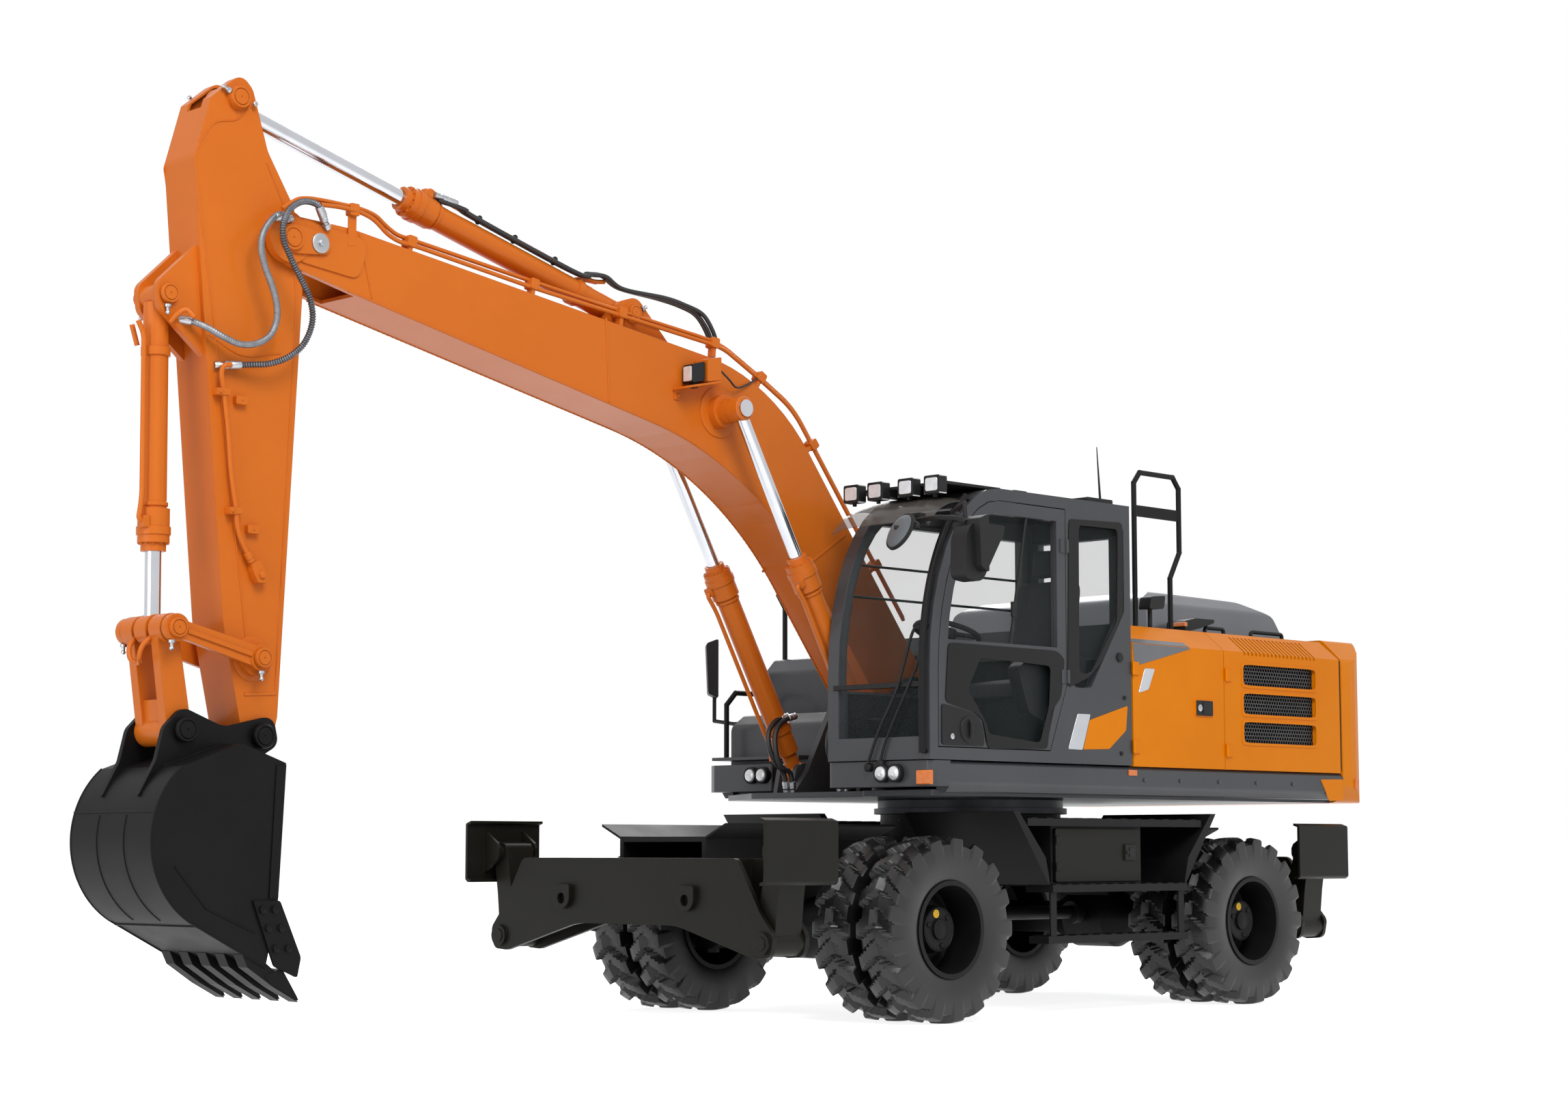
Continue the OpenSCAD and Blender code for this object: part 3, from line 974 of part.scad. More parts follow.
chassis_frame();
swing_bearing();
front_axle();
rear_axle();
driveline();
outrigger_frames();
lashing_eyes();
step_boxes();
toolbox_door_left();
toolbox_door_right();
knuckle_left();
knuckle_right();
rim_front_left();
rim_front_right();
rim_rear_left();
rim_rear_right();
tyres_front_left();
tyres_front_right();
tyres_rear_left();
tyres_rear_right();
leg_front_left();
leg_front_right();
leg_rear_left();
leg_rear_right();
upper_frame();
side_sills();
counterweight();
hood_body();
hood_door_front();
hood_door_rear();
hood_door_right();
engine_hood();
engine();
right_tank();
hand_rails();
cab_shell();
cab_glass();
cab_door();
door_glass();
seat_base();
seat_cushion();
controls();
mirrors();
lamps();
boom();
boom_tubes();
boom_rods();
arm_tube();
arm_rod();
arm();
bucket_tube();
bucket_rod();
rockers();
bucket_link();
bucket();
bucket_teeth();
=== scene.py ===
"""Wheeled excavator: finishes, fittings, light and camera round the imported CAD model.

Every piece is in metres in the CAD frame: +X towards the bucket, +Y to the operator's left, +Z up.
Places are written in millimetres from the middle of the wheelbase and turned to that frame by at().
"""

from __future__ import annotations

import json
import logging
import math
from dataclasses import dataclass, field
from enum import Enum
from typing import Iterable, Sequence

import bmesh
import bpy
import numpy as np
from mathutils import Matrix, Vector

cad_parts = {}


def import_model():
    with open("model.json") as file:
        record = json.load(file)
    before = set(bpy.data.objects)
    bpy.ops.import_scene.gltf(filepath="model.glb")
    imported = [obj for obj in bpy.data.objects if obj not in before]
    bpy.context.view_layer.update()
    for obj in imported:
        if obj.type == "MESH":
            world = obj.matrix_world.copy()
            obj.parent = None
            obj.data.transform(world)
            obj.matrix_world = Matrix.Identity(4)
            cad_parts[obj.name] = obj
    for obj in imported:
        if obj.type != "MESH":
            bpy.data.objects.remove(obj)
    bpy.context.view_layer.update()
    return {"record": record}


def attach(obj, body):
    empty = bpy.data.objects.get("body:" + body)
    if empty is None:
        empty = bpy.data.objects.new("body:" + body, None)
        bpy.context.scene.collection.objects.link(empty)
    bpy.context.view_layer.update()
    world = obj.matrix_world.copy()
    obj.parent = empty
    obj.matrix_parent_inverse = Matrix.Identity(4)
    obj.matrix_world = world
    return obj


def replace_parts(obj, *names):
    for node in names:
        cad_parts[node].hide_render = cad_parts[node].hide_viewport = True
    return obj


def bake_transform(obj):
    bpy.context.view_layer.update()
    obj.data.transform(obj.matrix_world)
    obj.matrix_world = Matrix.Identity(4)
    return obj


LOG = logging.getLogger("excavator")
MIDDLE = 1558.0  # millimetres from the wheelbase's middle to the frame's origin
TAU = 2 * math.pi
AXLE_X = 1440.0  # millimetres from the wheelbase's middle to an axle
FLOOR_RADIUS = 80000  # millimetres
FLOOR_DEPTH = 50  # millimetres
FLOOR_GLOW = 0.85  # light that the floor adds where it is seen
X, Y, Z = np.eye(3)
Point = Sequence[float]


def at(x: float, y: float, z: float) -> np.ndarray:
    """Place in metres in the CAD frame from millimetres off the wheelbase's middle."""
    return np.array([x - MIDDLE, y, z]) / 1000.0


def framed(points: np.ndarray) -> np.ndarray:
    """Rows of machine millimetres as metres in the part's frame."""
    return (points - [MIDDLE, 0, 0]) / 1000


def route(points: Iterable[Point]) -> np.ndarray:
    """Places in metres for a list of millimetre points."""
    return np.array([at(*p) for p in points])


def unit(v: np.ndarray) -> np.ndarray:
    """Rows of v scaled to length one."""
    return v / np.maximum(np.linalg.norm(v, axis=-1, keepdims=True), 1e-12)


def flowing(points: np.ndarray, per_span: int = 8) -> np.ndarray:
    """Smooth line through points, a Catmull-Rom cubic on each span.

    Args:
        points: places that the line passes, one per row.
        per_span: steps between two places.

    Returns:
        The line's points, one per row.
    """
    p = np.vstack([2 * points[0] - points[1], points, 2 * points[-1] - points[-2]])
    t = np.arange(per_span)[:, None, None] / per_span
    a, b, c, d = p[:-3], p[1:-2], p[2:-1], p[3:]
    spans = 0.5 * (2 * b + (c - a) * t + (2 * a - 5 * b + 4 * c - d) * t**2 + (3 * b - a - 3 * c + d) * t**3)
    return np.vstack([spans.transpose(1, 0, 2).reshape(-1, points.shape[1]), points[-1:]])


def even(path: np.ndarray, step: float) -> np.ndarray:
    """The same line with points about one step apart, by its running length."""
    run = np.concatenate([[0], np.cumsum(np.linalg.norm(np.diff(path, axis=0), axis=1))])
    s = np.linspace(0, run[-1], max(2, int(run[-1] / step) + 1))
    return np.stack([np.interp(s, run, path[:, k]) for k in range(path.shape[1])], -1)


def bent(points: np.ndarray, radius: float, steps: int = 5) -> np.ndarray:
    """Line with its corners rounded as a pipe is bent, a quadratic curve at each corner.

    Args:
        points: corners of the line, one per row.
        radius: how far from a corner the bend starts, in metres.
        steps: steps in one bend.

    Returns:
        The line's points, one per row.
    """
    if len(points) < 3:
        return points
    a, b, c = points[:-2], points[1:-1], points[2:]
    near = np.minimum(np.linalg.norm(a - b, axis=1), np.linalg.norm(c - b, axis=1))
    reach = np.minimum(radius, 0.45 * near)[:, None]
    s, e = b + unit(a - b) * reach, b + unit(c - b) * reach
    t = np.linspace(0, 1, steps + 1)[None, :, None]
    bend = s[:, None] * (1 - t) ** 2 + 2 * b[:, None] * t * (1 - t) + e[:, None] * t**2
    return np.vstack([points[:1], bend.reshape(-1, points.shape[1]), points[-1:]])


def rounded_outline(corners: np.ndarray, radius: float, steps: int = 5) -> np.ndarray:
    """Closed outline with each corner rounded by a quadratic curve of the given reach."""
    closed = np.vstack([corners[-1:], corners, corners[:1]])
    return bent(closed, radius, steps)[1:-1]


def polar(outline: np.ndarray, centre: np.ndarray, count: int) -> np.ndarray:
    """Closed outline sampled at equal angles round a centre that sees all of it.

    Args:
        outline: corners, one per row.
        centre: point inside.
        count: number of angles.

    Returns:
        One point per angle, counter-clockwise.
    """
    dense = even(np.vstack([outline, outline[:1]]), 0.002)[:-1] - centre
    a = np.arctan2(dense[:, 1], dense[:, 0]) % TAU
    order = np.argsort(a)
    want = np.linspace(0, TAU, count, endpoint=False)
    return centre + np.stack([np.interp(want, a[order], dense[order, k], period=TAU) for k in (0, 1)], -1)


def mesh_object(name: str, verts: np.ndarray, faces: list, smooth: bool = True) -> bpy.types.Object:
    """Object at the origin from points and faces, its normals turned outwards.

    Args:
        name: the object's name.
        verts: points, one per row.
        faces: lists of point numbers.
        smooth: shade smooth up to 35 degrees between faces.

    Returns:
        The object, linked to the scene.
    """
    mesh = bpy.data.meshes.new(name)
    mesh.from_pydata(np.asarray(verts, float).reshape(-1, 3).tolist(), [], faces)
    work = bmesh.new()
    work.from_mesh(mesh)
    bmesh.ops.remove_doubles(work, verts=work.verts, dist=1e-6)
    bmesh.ops.recalc_face_normals(work, faces=work.faces)
    work.to_mesh(mesh)
    work.free()
    mesh.validate()
    if smooth:
        mesh.shade_smooth()
        mesh.set_sharp_from_angle(angle=math.radians(35))
    obj = bpy.data.objects.new(name, mesh)
    bpy.context.scene.collection.objects.link(obj)
    return obj


def grid_faces(n: int, m: int, wrap_u: bool, wrap_v: bool) -> np.ndarray:
    """Quads of an n by m grid of points, closed along u or v where asked."""
    i, j = np.meshgrid(np.arange(n if wrap_u else n - 1), np.arange(m if wrap_v else m - 1), indexing="ij")
    i2, j2 = (i + 1) % n, (j + 1) % m
    return np.stack([i * m + j, i2 * m + j, i2 * m + j2, i * m + j2], -1).reshape(-1, 4)


@dataclass
class Shape:
    """Points and faces of one or more closed surfaces, joined as arrays.

    Attributes:
        verts: points, one per row, in metres.
        faces: lists of point numbers.
    """

    verts: np.ndarray = field(default_factory=lambda: np.zeros((0, 3)))
    faces: list = field(default_factory=list)

    def __add__(self, other: "Shape") -> "Shape":
        """This shape with another one's points and faces after its own."""
        start = len(self.verts)
        return Shape(
            np.vstack([self.verts, other.verts]), self.faces + [[k + start for k in f] for f in other.faces]
        )

    def copies(
        self, places: np.ndarray, x_axis: np.ndarray, y_axis: np.ndarray, z_axis: np.ndarray
    ) -> "Shape":
        """Copies of the shape at each place, its axes laid along three unit vectors.

        Args:
            places: one place per copy.
            x_axis: direction of the shape's own X, one per copy or one for all.
            y_axis: the same for Y.
            z_axis: the same for Z.

        Returns:
            All copies as one shape.
        """
        places = np.atleast_2d(places)
        frames = np.stack([np.broadcast_to(v, places.shape) for v in (x_axis, y_axis, z_axis)], -2)
        verts = np.einsum("vk,nkx->nvx", self.verts, frames) + places[:, None]
        size = len(self.verts)
        faces = [[k + size * c for k in f] for c in range(len(places)) for f in self.faces]
        return Shape(verts.reshape(-1, 3), faces)

    def mirrored(self) -> "Shape":
        """The shape on the other side of the machine."""
        return Shape(self.verts * [1, -1, 1], [f[::-1] for f in self.faces])

    def both(self) -> "Shape":
        """The shape and its mirror image."""
        return self + self.mirrored()


def joined(shapes: Iterable[Shape]) -> Shape:
    """Several shapes as one."""
    return sum(shapes, Shape())


def grid(points: np.ndarray, wrap_u: bool = False, wrap_v: bool = False, caps: bool = False) -> Shape:
    """Surface through a grid of points.

    Args:
        points: array of n by m points.
        wrap_u: join the last row to the first.
        wrap_v: join the last column to the first.
        caps: close the first and last row with a flat face each.

    Returns:
        The surface.
    """
    n, m = points.shape[:2]
    faces = grid_faces(n, m, wrap_u, wrap_v).tolist()
    if caps:
        faces += [list(range(m)), list(range(n * m - 1, (n - 1) * m - 1, -1))]
    return Shape(points.reshape(-1, 3), faces)


def tube(path: np.ndarray, radius: float | np.ndarray, sides: int = 14) -> Shape:
    """Round bar along a path: a circle carried square to the path's direction.

    Args:
        path: points of the centre line, one per row.
        radius: radius, or one radius per point.
        sides: points round the circle.

    Returns:
        A closed surface.
    """
    tangent = unit(np.gradient(path, axis=0))
    spread = np.ptp(path, axis=0)
    guide = np.eye(3)[int(np.argmin(spread))] + np.array([0.011, 0.017, 0.013])
    side = unit(np.cross(tangent, guide))
    up = np.cross(side, tangent)
    a = np.linspace(0, TAU, sides, endpoint=False)
    r = np.broadcast_to(np.asarray(radius, float), (len(path),))[:, None, None]
    ring = np.cos(a)[None, :, None] * side[:, None] + np.sin(a)[None, :, None] * up[:, None]
    return grid(path[:, None] + r * ring, wrap_v=True, caps=True)


def pipe(points: Iterable[Point], radius: float, bend: float = 80.0, sides: int = 14) -> Shape:
    """Bent pipe through corners given in millimetres."""
    return tube(bent(route(points), bend / 1000, 6), radius / 1000, sides)


def axes_of(axis: np.ndarray) -> tuple[np.ndarray, np.ndarray, np.ndarray]:
    """Two directions square to an axis, and the axis, as unit vectors."""
    w = unit(np.asarray(axis, float))
    u = unit(np.cross(w, np.eye(3)[int(np.argmin(np.abs(w)))]))
    return u, np.cross(w, u), w


def lathe(profile: Iterable[Point], centre: np.ndarray, axis: np.ndarray, sides: int = 40) -> Shape:
    """Turned form: a profile of radius and place in millimetres carried round an axis.

    Args:
        profile: rows of radius and distance along the axis, from one end to the other.
        centre: point on the axis, in metres.
        axis: direction of the axis.
        sides: steps round the axis.

    Returns:
        A closed surface where the profile starts and ends at radius zero.
    """
    rows = np.array(list(profile), float) / 1000
    u, v, w = axes_of(axis)
    a = np.linspace(0, TAU, sides, endpoint=False)
    ring = np.cos(a)[:, None] * u + np.sin(a)[:, None] * v
    return grid(centre + rows[:, None, :1] * ring[None] + rows[:, None, 1:] * w, wrap_v=True, caps=True)


def panel(
    outline: np.ndarray, origin: np.ndarray, u: np.ndarray, v: np.ndarray, depth: float, edge: float = 0.0015
) -> Shape:
    """Flat plate with chamfered edges, from its outline.

    Args:
        outline: rows of distance along u and v, in metres.
        origin: where the outline's zero lies, on the plate's back.
        u: first direction in the plate.
        v: second direction in the plate.
        depth: thickness along u x v.
        edge: width of the chamfers.

    Returns:
        A closed surface.
    """
    turn = np.roll(outline, -1, 0)
    area = np.sum(outline[:, 0] * turn[:, 1] - outline[:, 1] * turn[:, 0])
    line = outline if area > 0 else outline[::-1]
    out = unit(np.roll(line, -1, 0) - np.roll(line, 1, 0))[:, ::-1] * [1, -1]
    edge = min(edge, 0.4 * abs(depth))
    rows = np.array([[-edge, 0.0], [0.0, edge], [0.0, depth - edge], [-edge, depth]])
    flat = line[None] + out[None] * rows[:, None, :1]
    pts = origin + flat[..., :1] * u + flat[..., 1:] * v + rows[:, 1, None, None] * np.cross(u, v)
    return grid(pts, wrap_v=True, caps=True)


def side_plate(points: Iterable[Point], y: float, depth: float, radius: float = 0.0) -> Shape:
    """Plate with an outline in X and Z, its back at y, that stands out to the left, in millimetres."""
    outline = (np.array(list(points), float) - [MIDDLE, 0]) / 1000
    outline = rounded_outline(outline, radius / 1000) if radius else outline
    return panel(outline[:, ::-1], Y * y / 1000, Z, X, depth / 1000)


def front_plate(points: Iterable[Point], x: float, depth: float, radius: float = 0.0) -> Shape:
    """Plate with an outline in Y and Z, its back at x, that stands out forward, in millimetres."""
    outline = np.array(list(points), float) / 1000
    outline = rounded_outline(outline, radius / 1000) if radius else outline
    return panel(outline, X * (x - MIDDLE) / 1000, Y, Z, depth / 1000)


def rectangle(u0: float, v0: float, u1: float, v1: float) -> list[Point]:
    """Corners of a rectangle between two opposite ones, for a plate's outline."""
    return [(u0, v0), (u1, v0), (u1, v1), (u0, v1)]


def block(low: Point, high: Point, radius: float = 4.0) -> Shape:
    """Bar of rectangular section along Y with rounded corners, between two corners in millimetres."""
    (x0, y0, z0), (x1, y1, z1) = low, high
    return side_plate(rectangle(x0, z0, x1, z1), y0, y1 - y0, radius)


def border(outer: Iterable[Point], inner: Iterable[Point], y: float, depth: float, count: int = 160) -> Shape:
    """Flat frame on a face that looks left, between two outlines in X and Z, in millimetres.

    Args:
        outer: outer corners.
        inner: corners of the opening.
        y: back of the frame.
        depth: how far it stands out.
        count: points round each outline.

    Returns:
        A closed ring.
    """
    rows = [rounded_outline((np.array(list(p), float) - [MIDDLE, 0]) / 1000, 0.03) for p in (outer, inner)]
    centre = rows[1].mean(0)
    o, i = (polar(r, centre, count) for r in rows)
    loops = [(o, 0.0), (o, depth), (i, depth), (i, 0.0)]
    pts = np.stack([np.stack([p[:, 0], np.full(count, (y + d) / 1000), p[:, 1]], -1) for p, d in loops])
    return grid(pts, wrap_u=True, wrap_v=True)


HEX_HEAD = lathe([[0, 0], [1000, 0], [1000, 620], [860, 700], [0, 700]], np.zeros(3), Z, 6)


def bolts(places: np.ndarray, axis: np.ndarray, radius: float) -> Shape:
    """Hexagon bolt heads at each place, standing along axis, their corner radius in millimetres."""
    head = Shape(HEX_HEAD.verts * radius / 1000, HEX_HEAD.faces)
    return head.copies(places, *axes_of(axis))


def pin_end(x: float, y: float, z: float, radius: float, axis: np.ndarray = Y) -> Shape:
    """End of a pivot pin: a low disc with a turned groove and a centre mark, in millimetres."""
    r = radius
    rows = [
        [0, -6], [r, -6], [r, 8], [0.94 * r, 14], [0.76 * r, 14], [0.74 * r, 9], [0.70 * r, 9],
        [0.68 * r, 15], [0.09 * r, 15], [0.05 * r, 10], [0, 10]
    ]
    return lathe(rows, at(x, y, z), axis)


def nipple(place: np.ndarray, axis: np.ndarray, scale: float = 1.0) -> Shape:
    """Grease fitting: hexagon, neck and ball on an axis."""
    body = lathe(
        [[0, 0], [17, 0], [17, 14], [9, 16], [8, 30], [12, 36], [12, 44], [6, 50], [0, 50]], np.zeros(3), Z,
        12
    )
    return Shape(body.verts * scale, body.faces).copies(place, *axes_of(axis))


def sleeve(a: np.ndarray, b: np.ndarray, radius: float) -> Shape:
    """Crimped hose end from a to b: hexagon nut, neck, grooved ferrule, radius in millimetres."""
    n = 1000 * float(np.linalg.norm(b - a))
    r = radius
    rows = [
        [0, 0], [1.15 * r, 0], [1.15 * r, 0.2 * n], [0.8 * r, 0.22 * n], [0.8 * r, 0.34 * n],
        [1.2 * r, 0.36 * n], [1.2 * r, 0.5 * n], [1.1 * r, 0.51 * n]
    ]
    rows += [[1.1 * r, 0.56 * n], [1.2 * r, 0.57 * n], [1.2 * r, 0.96 * n], [r, n], [0, n]]
    return lathe(rows, a, b - a, 18)


def linear(code: str) -> tuple[float, float, float, float]:
    """Linear colour from an sRGB hex code."""
    c = np.array([int(code[i : i + 2], 16) for i in (1, 3, 5)]) / 255.0
    c = np.where(c <= 0.04045, c / 12.92, ((c + 0.055) / 1.055) ** 2.4)
    return (*c.tolist(), 1.0)


def add_node(
    tree: bpy.types.NodeTree, kind: str, settings: dict | None = None, links: dict | None = None, **values
) -> bpy.types.Node:
    """Node with its settings, input values and incoming links.

    Args:
        tree: node tree that gets it.
        kind: Blender's name of the node type.
        settings: properties of the node.
        links: input name or number to the socket that feeds it.
        values: input values by name, with _ for a space.

    Returns:
        The node.
    """
    node = tree.nodes.new(kind)
    for key, value in (settings or {}).items():
        setattr(node, key, value)
    for key, value in values.items():
        node.inputs[key.replace("_", " ")].default_value = value
    for key, socket in (links or {}).items():
        tree.links.new(socket, node.inputs[key])
    return node


def seen_rays(tree: bpy.types.NodeTree) -> bpy.types.NodeSocket:
    """Socket that is one where the camera sees a thing directly, through glass or in a mirror, else zero."""
    path = add_node(tree, "ShaderNodeLightPath")
    seen = path.outputs["Is Camera Ray"]
    for kind in ("Is Transmission Ray", "Is Glossy Ray"):
        larger = add_node(tree, "ShaderNodeMath", {"operation": "MAXIMUM"}, {0: seen, 1: path.outputs[kind]})
        seen = larger.outputs[0]
    return seen


@dataclass(frozen=True)
class Finish:
    """A surface's material, with a mottled colour and a fine relief on Object coordinates.

    Attributes:
        name: the real material's name.
        colour: sRGB hex of the surface.
        second: sRGB hex that the colour drifts to in patches.
        roughness: roughness of the clean surface.
        rough_patch: how much patches add to the roughness.
        metallic: one for bare metal.
        coat: weight of a clear lacquer.
        patch_mm: size of the colour patches.
        grain_mm: size of the relief's grains.
        relief_mm: height of the relief.
        edge_mm: radius that shading gives to sharp edges.
        alpha: share of light that the surface stops.
        specular: level of the surface's own reflection, half for a common lacquer.
    """

    name: str
    colour: str
    second: str
    roughness: float = 0.5
    rough_patch: float = 0.1
    metallic: float = 0.0
    coat: float = 0.0
    patch_mm: float = 600.0
    grain_mm: float = 30.0
    relief_mm: float = 0.15
    edge_mm: float = 0.0
    alpha: float = 1.0
    specular: float = 0.5

    def material(self) -> bpy.types.Material:
        """The material, made at first use."""
        if self.name in bpy.data.materials:
            return bpy.data.materials[self.name]
        mat = bpy.data.materials.new(self.name)
        mat.use_nodes = True
        tree = mat.node_tree
        shader = tree.nodes["Principled BSDF"]
        place = add_node(tree, "ShaderNodeTexCoord").outputs["Object"]
        patch = add_node(
            tree, "ShaderNodeTexNoise", links={"Vector": place}, Scale=1000 / self.patch_mm, Detail=5.0,
            Roughness=0.6
        )
        shift = add_node(
            tree, "ShaderNodeMapRange", links={"Value": patch.outputs["Fac"]}, From_Min=0.35, From_Max=0.7
        )
        colour = add_node(tree, "ShaderNodeMix", {"data_type": "RGBA"})
        tree.links.new(shift.outputs["Result"], colour.inputs[0])
        colour.inputs[6].default_value = linear(self.colour)
        colour.inputs[7].default_value = linear(self.second)
        tree.links.new(colour.outputs[2], shader.inputs["Base Color"])
        rough = add_node(
            tree, "ShaderNodeMapRange", links={"Value": patch.outputs["Fac"]}, From_Min=0.3, From_Max=0.75
        )
        rough.inputs["To Min"].default_value = self.roughness
        rough.inputs["To Max"].default_value = self.roughness + self.rough_patch
        tree.links.new(rough.outputs["Result"], shader.inputs["Roughness"])
        grain = add_node(
            tree, "ShaderNodeTexNoise", links={"Vector": place}, Scale=1000 / self.grain_mm, Detail=3.0
        )
        bump = add_node(
            tree, "ShaderNodeBump", links={"Height": grain.outputs["Fac"]}, Strength=1.0,
            Distance=self.relief_mm / 1000
        )
        if self.edge_mm:
            soft = add_node(tree, "ShaderNodeBevel", {"samples": 4}, Radius=self.edge_mm / 1000)
            tree.links.new(soft.outputs["Normal"], bump.inputs["Normal"])
        tree.links.new(bump.outputs["Normal"], shader.inputs["Normal"])
        shader.inputs["Metallic"].default_value = self.metallic
        shader.inputs["Coat Weight"].default_value = self.coat
        shader.inputs["Coat Roughness"].default_value = 0.08
        shader.inputs["Alpha"].default_value = self.alpha
        shader.inputs["Specular IOR Level"].default_value = self.specular
        return mat


# Two-part polyurethane enamel on welded plate: deep orange, glossy, with a faint orange peel.
BOOM_PAINT = Finish(
    "polyurethane enamel orange", "#D26C1A", "#CA6616", 0.36, 0.08, 0, 0.08, 900, 45, 0.10, 5, 1.0, 0.2
)
# The same enamel on pressed sheet, a brighter orange and smoother.
HOOD_PAINT = Finish(
    "polyurethane enamel amber", "#EE8800", "#E88000", 0.34, 0.06, 0, 0.04, 900, 60, 0.06, 5, 1.0, 0.1
)
# Metallic grey enamel: dark, flakes give it a soft sheen.
GREY_PAINT = Finish(
    "metallic enamel graphite", "#47484B", "#414245", 0.38, 0.08, 0.2, 0.1, 700, 40, 0.06, 5, 1.0, 0.3
)
DOME_PAINT = Finish(
    "metallic enamel silver grey", "#727377", "#6A6B6F", 0.34, 0.08, 0.3, 0.15, 700, 40, 0.06, 5, 1.0, 0.4
)
# Bright silver film on the plain bars of cab and hood.
SILVER_FILM = Finish("silver vinyl film", "#C9CCD0", "#B9BCC1", 0.3, 0.08, 0.55, 0.3, 500, 30, 0.04, 3)
# Satin chassis enamel over cast and welded steel, a little dusty.
FRAME_PAINT = Finish(
    "chassis enamel black", "#111112", "#181819", 0.42, 0.14, 0, 0, 350, 22, 0.18, 4, 1.0, 0.16
)
# Satin enamel with an olive cast on the stands.
STAND_PAINT = Finish(
    "chassis enamel olive black", "#14130E", "#1A1914", 0.4, 0.12, 0, 0, 420, 25, 0.15, 5, 1.0, 0.16
)
# Wear-plate bucket: black enamel with a broad soft sheen.
BUCKET_PAINT = Finish(
    "wear plate enamel black", "#0E0E0F", "#141415", 0.4, 0.14, 0, 0, 400, 25, 0.2, 5, 1.0, 0.12
)
# Carbon-filled natural rubber: matt, very dark, with a grey bloom.
TYRE_RUBBER = Finish("carbon filled rubber", "#0B0B0C", "#131314", 0.34, 0.14, 0, 0, 160, 9, 0.3, 0, 1.0, 0.5)
HOSE_RUBBER = Finish("braided hose rubber", "#17171A", "#202022", 0.45, 0.12, 0, 0, 60, 4, 0.3)
# Hard chrome plate on ground rods.
CHROME = Finish("hard chrome plate", "#C9CBD0", "#BFC1C6", 0.12, 0.06, 1.0, 0, 250, 14, 0.01)
STEEL = Finish("zinc plated steel", "#B4B6B9", "#A2A4A8", 0.3, 0.12, 1.0, 0, 80, 8, 0.05)
BRAID = Finish("stainless steel braid", "#84868A", "#707276", 0.4, 0.12, 0.7, 0, 40, 6, 0.08)
SPRING_WIRE = Finish("galvanised spring wire", "#6F7176", "#55575C", 0.34, 0.15, 0.9, 0, 40, 8, 0.05)
DARK_STEEL = Finish("machined bearing steel", "#4A4B4E", "#3F4043", 0.38, 0.12, 0.8, 0, 200, 12, 0.06, 3)
CAST_BLOCK = Finish("cast aluminium", "#6A6A6A", "#5E5E5E", 0.55, 0.12, 0.6, 0, 200, 10, 0.3)
PLASTIC = Finish(
    "moulded polypropylene black", "#181819", "#1F1F20", 0.5, 0.1, 0, 0, 120, 5, 0.25, 3, 1.0, 0.25
)
GREY_PLASTIC = Finish("moulded polypropylene grey", "#5F6468", "#575C60", 0.55, 0.1, 0, 0, 120, 5, 0.25, 3)
SEAT_CLOTH = Finish("woven polyester cloth", "#2A2A2D", "#333338", 0.85, 0.08, 0, 0, 40, 3, 0.5)
LENS = Finish("clear polycarbonate lens", "#E6E8EA", "#D5D8DB", 0.12, 0.05, 0.2, 0.6, 40, 12, 0.2)
AMBER = Finish("amber acrylic lens", "#E8790C", "#D96A06", 0.16, 0.06, 0, 0.6, 30, 9, 0.3)
# Yellow enamel on the hub's oil plug.
OIL_PLUG = Finish("enamel yellow", "#E8B91C", "#DDAE14", 0.4, 0.1)
# Sheet glass, faintly green; the visor is the same sheet with a smoked film.
GLASS = Finish("laminated safety glass", "#3E4A4A", "#3A4646", 0.03, 0.05, 0, 0, 500, 200, 0.01, 0, 0.1, 0.3)
BLACKED_GLASS = Finish(
    "enamel printed glass", "#0E0E0F", "#121213", 0.12, 0.06, 0, 0, 500, 80, 0.02, 0, 1.0, 0.25
)
SMOKED = Finish("smoked acrylic sheet", "#6B6660", "#625D58", 0.08, 0.05, 0, 0, 400, 80, 0.02, 0, 0.4, 0.3)


class Slot(Enum):
    """Material slots of the record and the finish that each shows."""

    frame_black = FRAME_PAINT
    bearing_steel = DARK_STEEL
    stand_paint = STAND_PAINT
    tyre = TYRE_RUBBER
    grey_paint = GREY_PAINT
    hood_paint = HOOD_PAINT
    engine_alloy = CAST_BLOCK
    glazing = GLASS
    trim = PLASTIC
    seat_fabric = SEAT_CLOTH
    lens = LENS
    boom_paint = BOOM_PAINT
    rod_chrome = CHROME
    bucket_steel = BUCKET_PAINT


def piece(
    name: str, shape: Shape, body: str, slot: Slot, finish: Finish | None = None, smooth: bool = True
) -> bpy.types.Object:
    """A dressed piece that rides on a CAD body.

    Args:
        name: the piece's name.
        shape: its surface.
        body: CAD body that carries it.
        slot: material slot of the record that it belongs to.
        finish: finish where it isn't the slot's own.
        smooth: shade it smooth.

    Returns:
        The object.
    """
    obj = mesh_object(name, shape.verts, shape.faces, smooth)
    obj.data.materials.append((finish or slot.value).material())
    if body:
        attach(obj, body)
    LOG.info("%s: %d faces on %s", name, len(obj.data.polygons), body or "two bodies")
    return obj


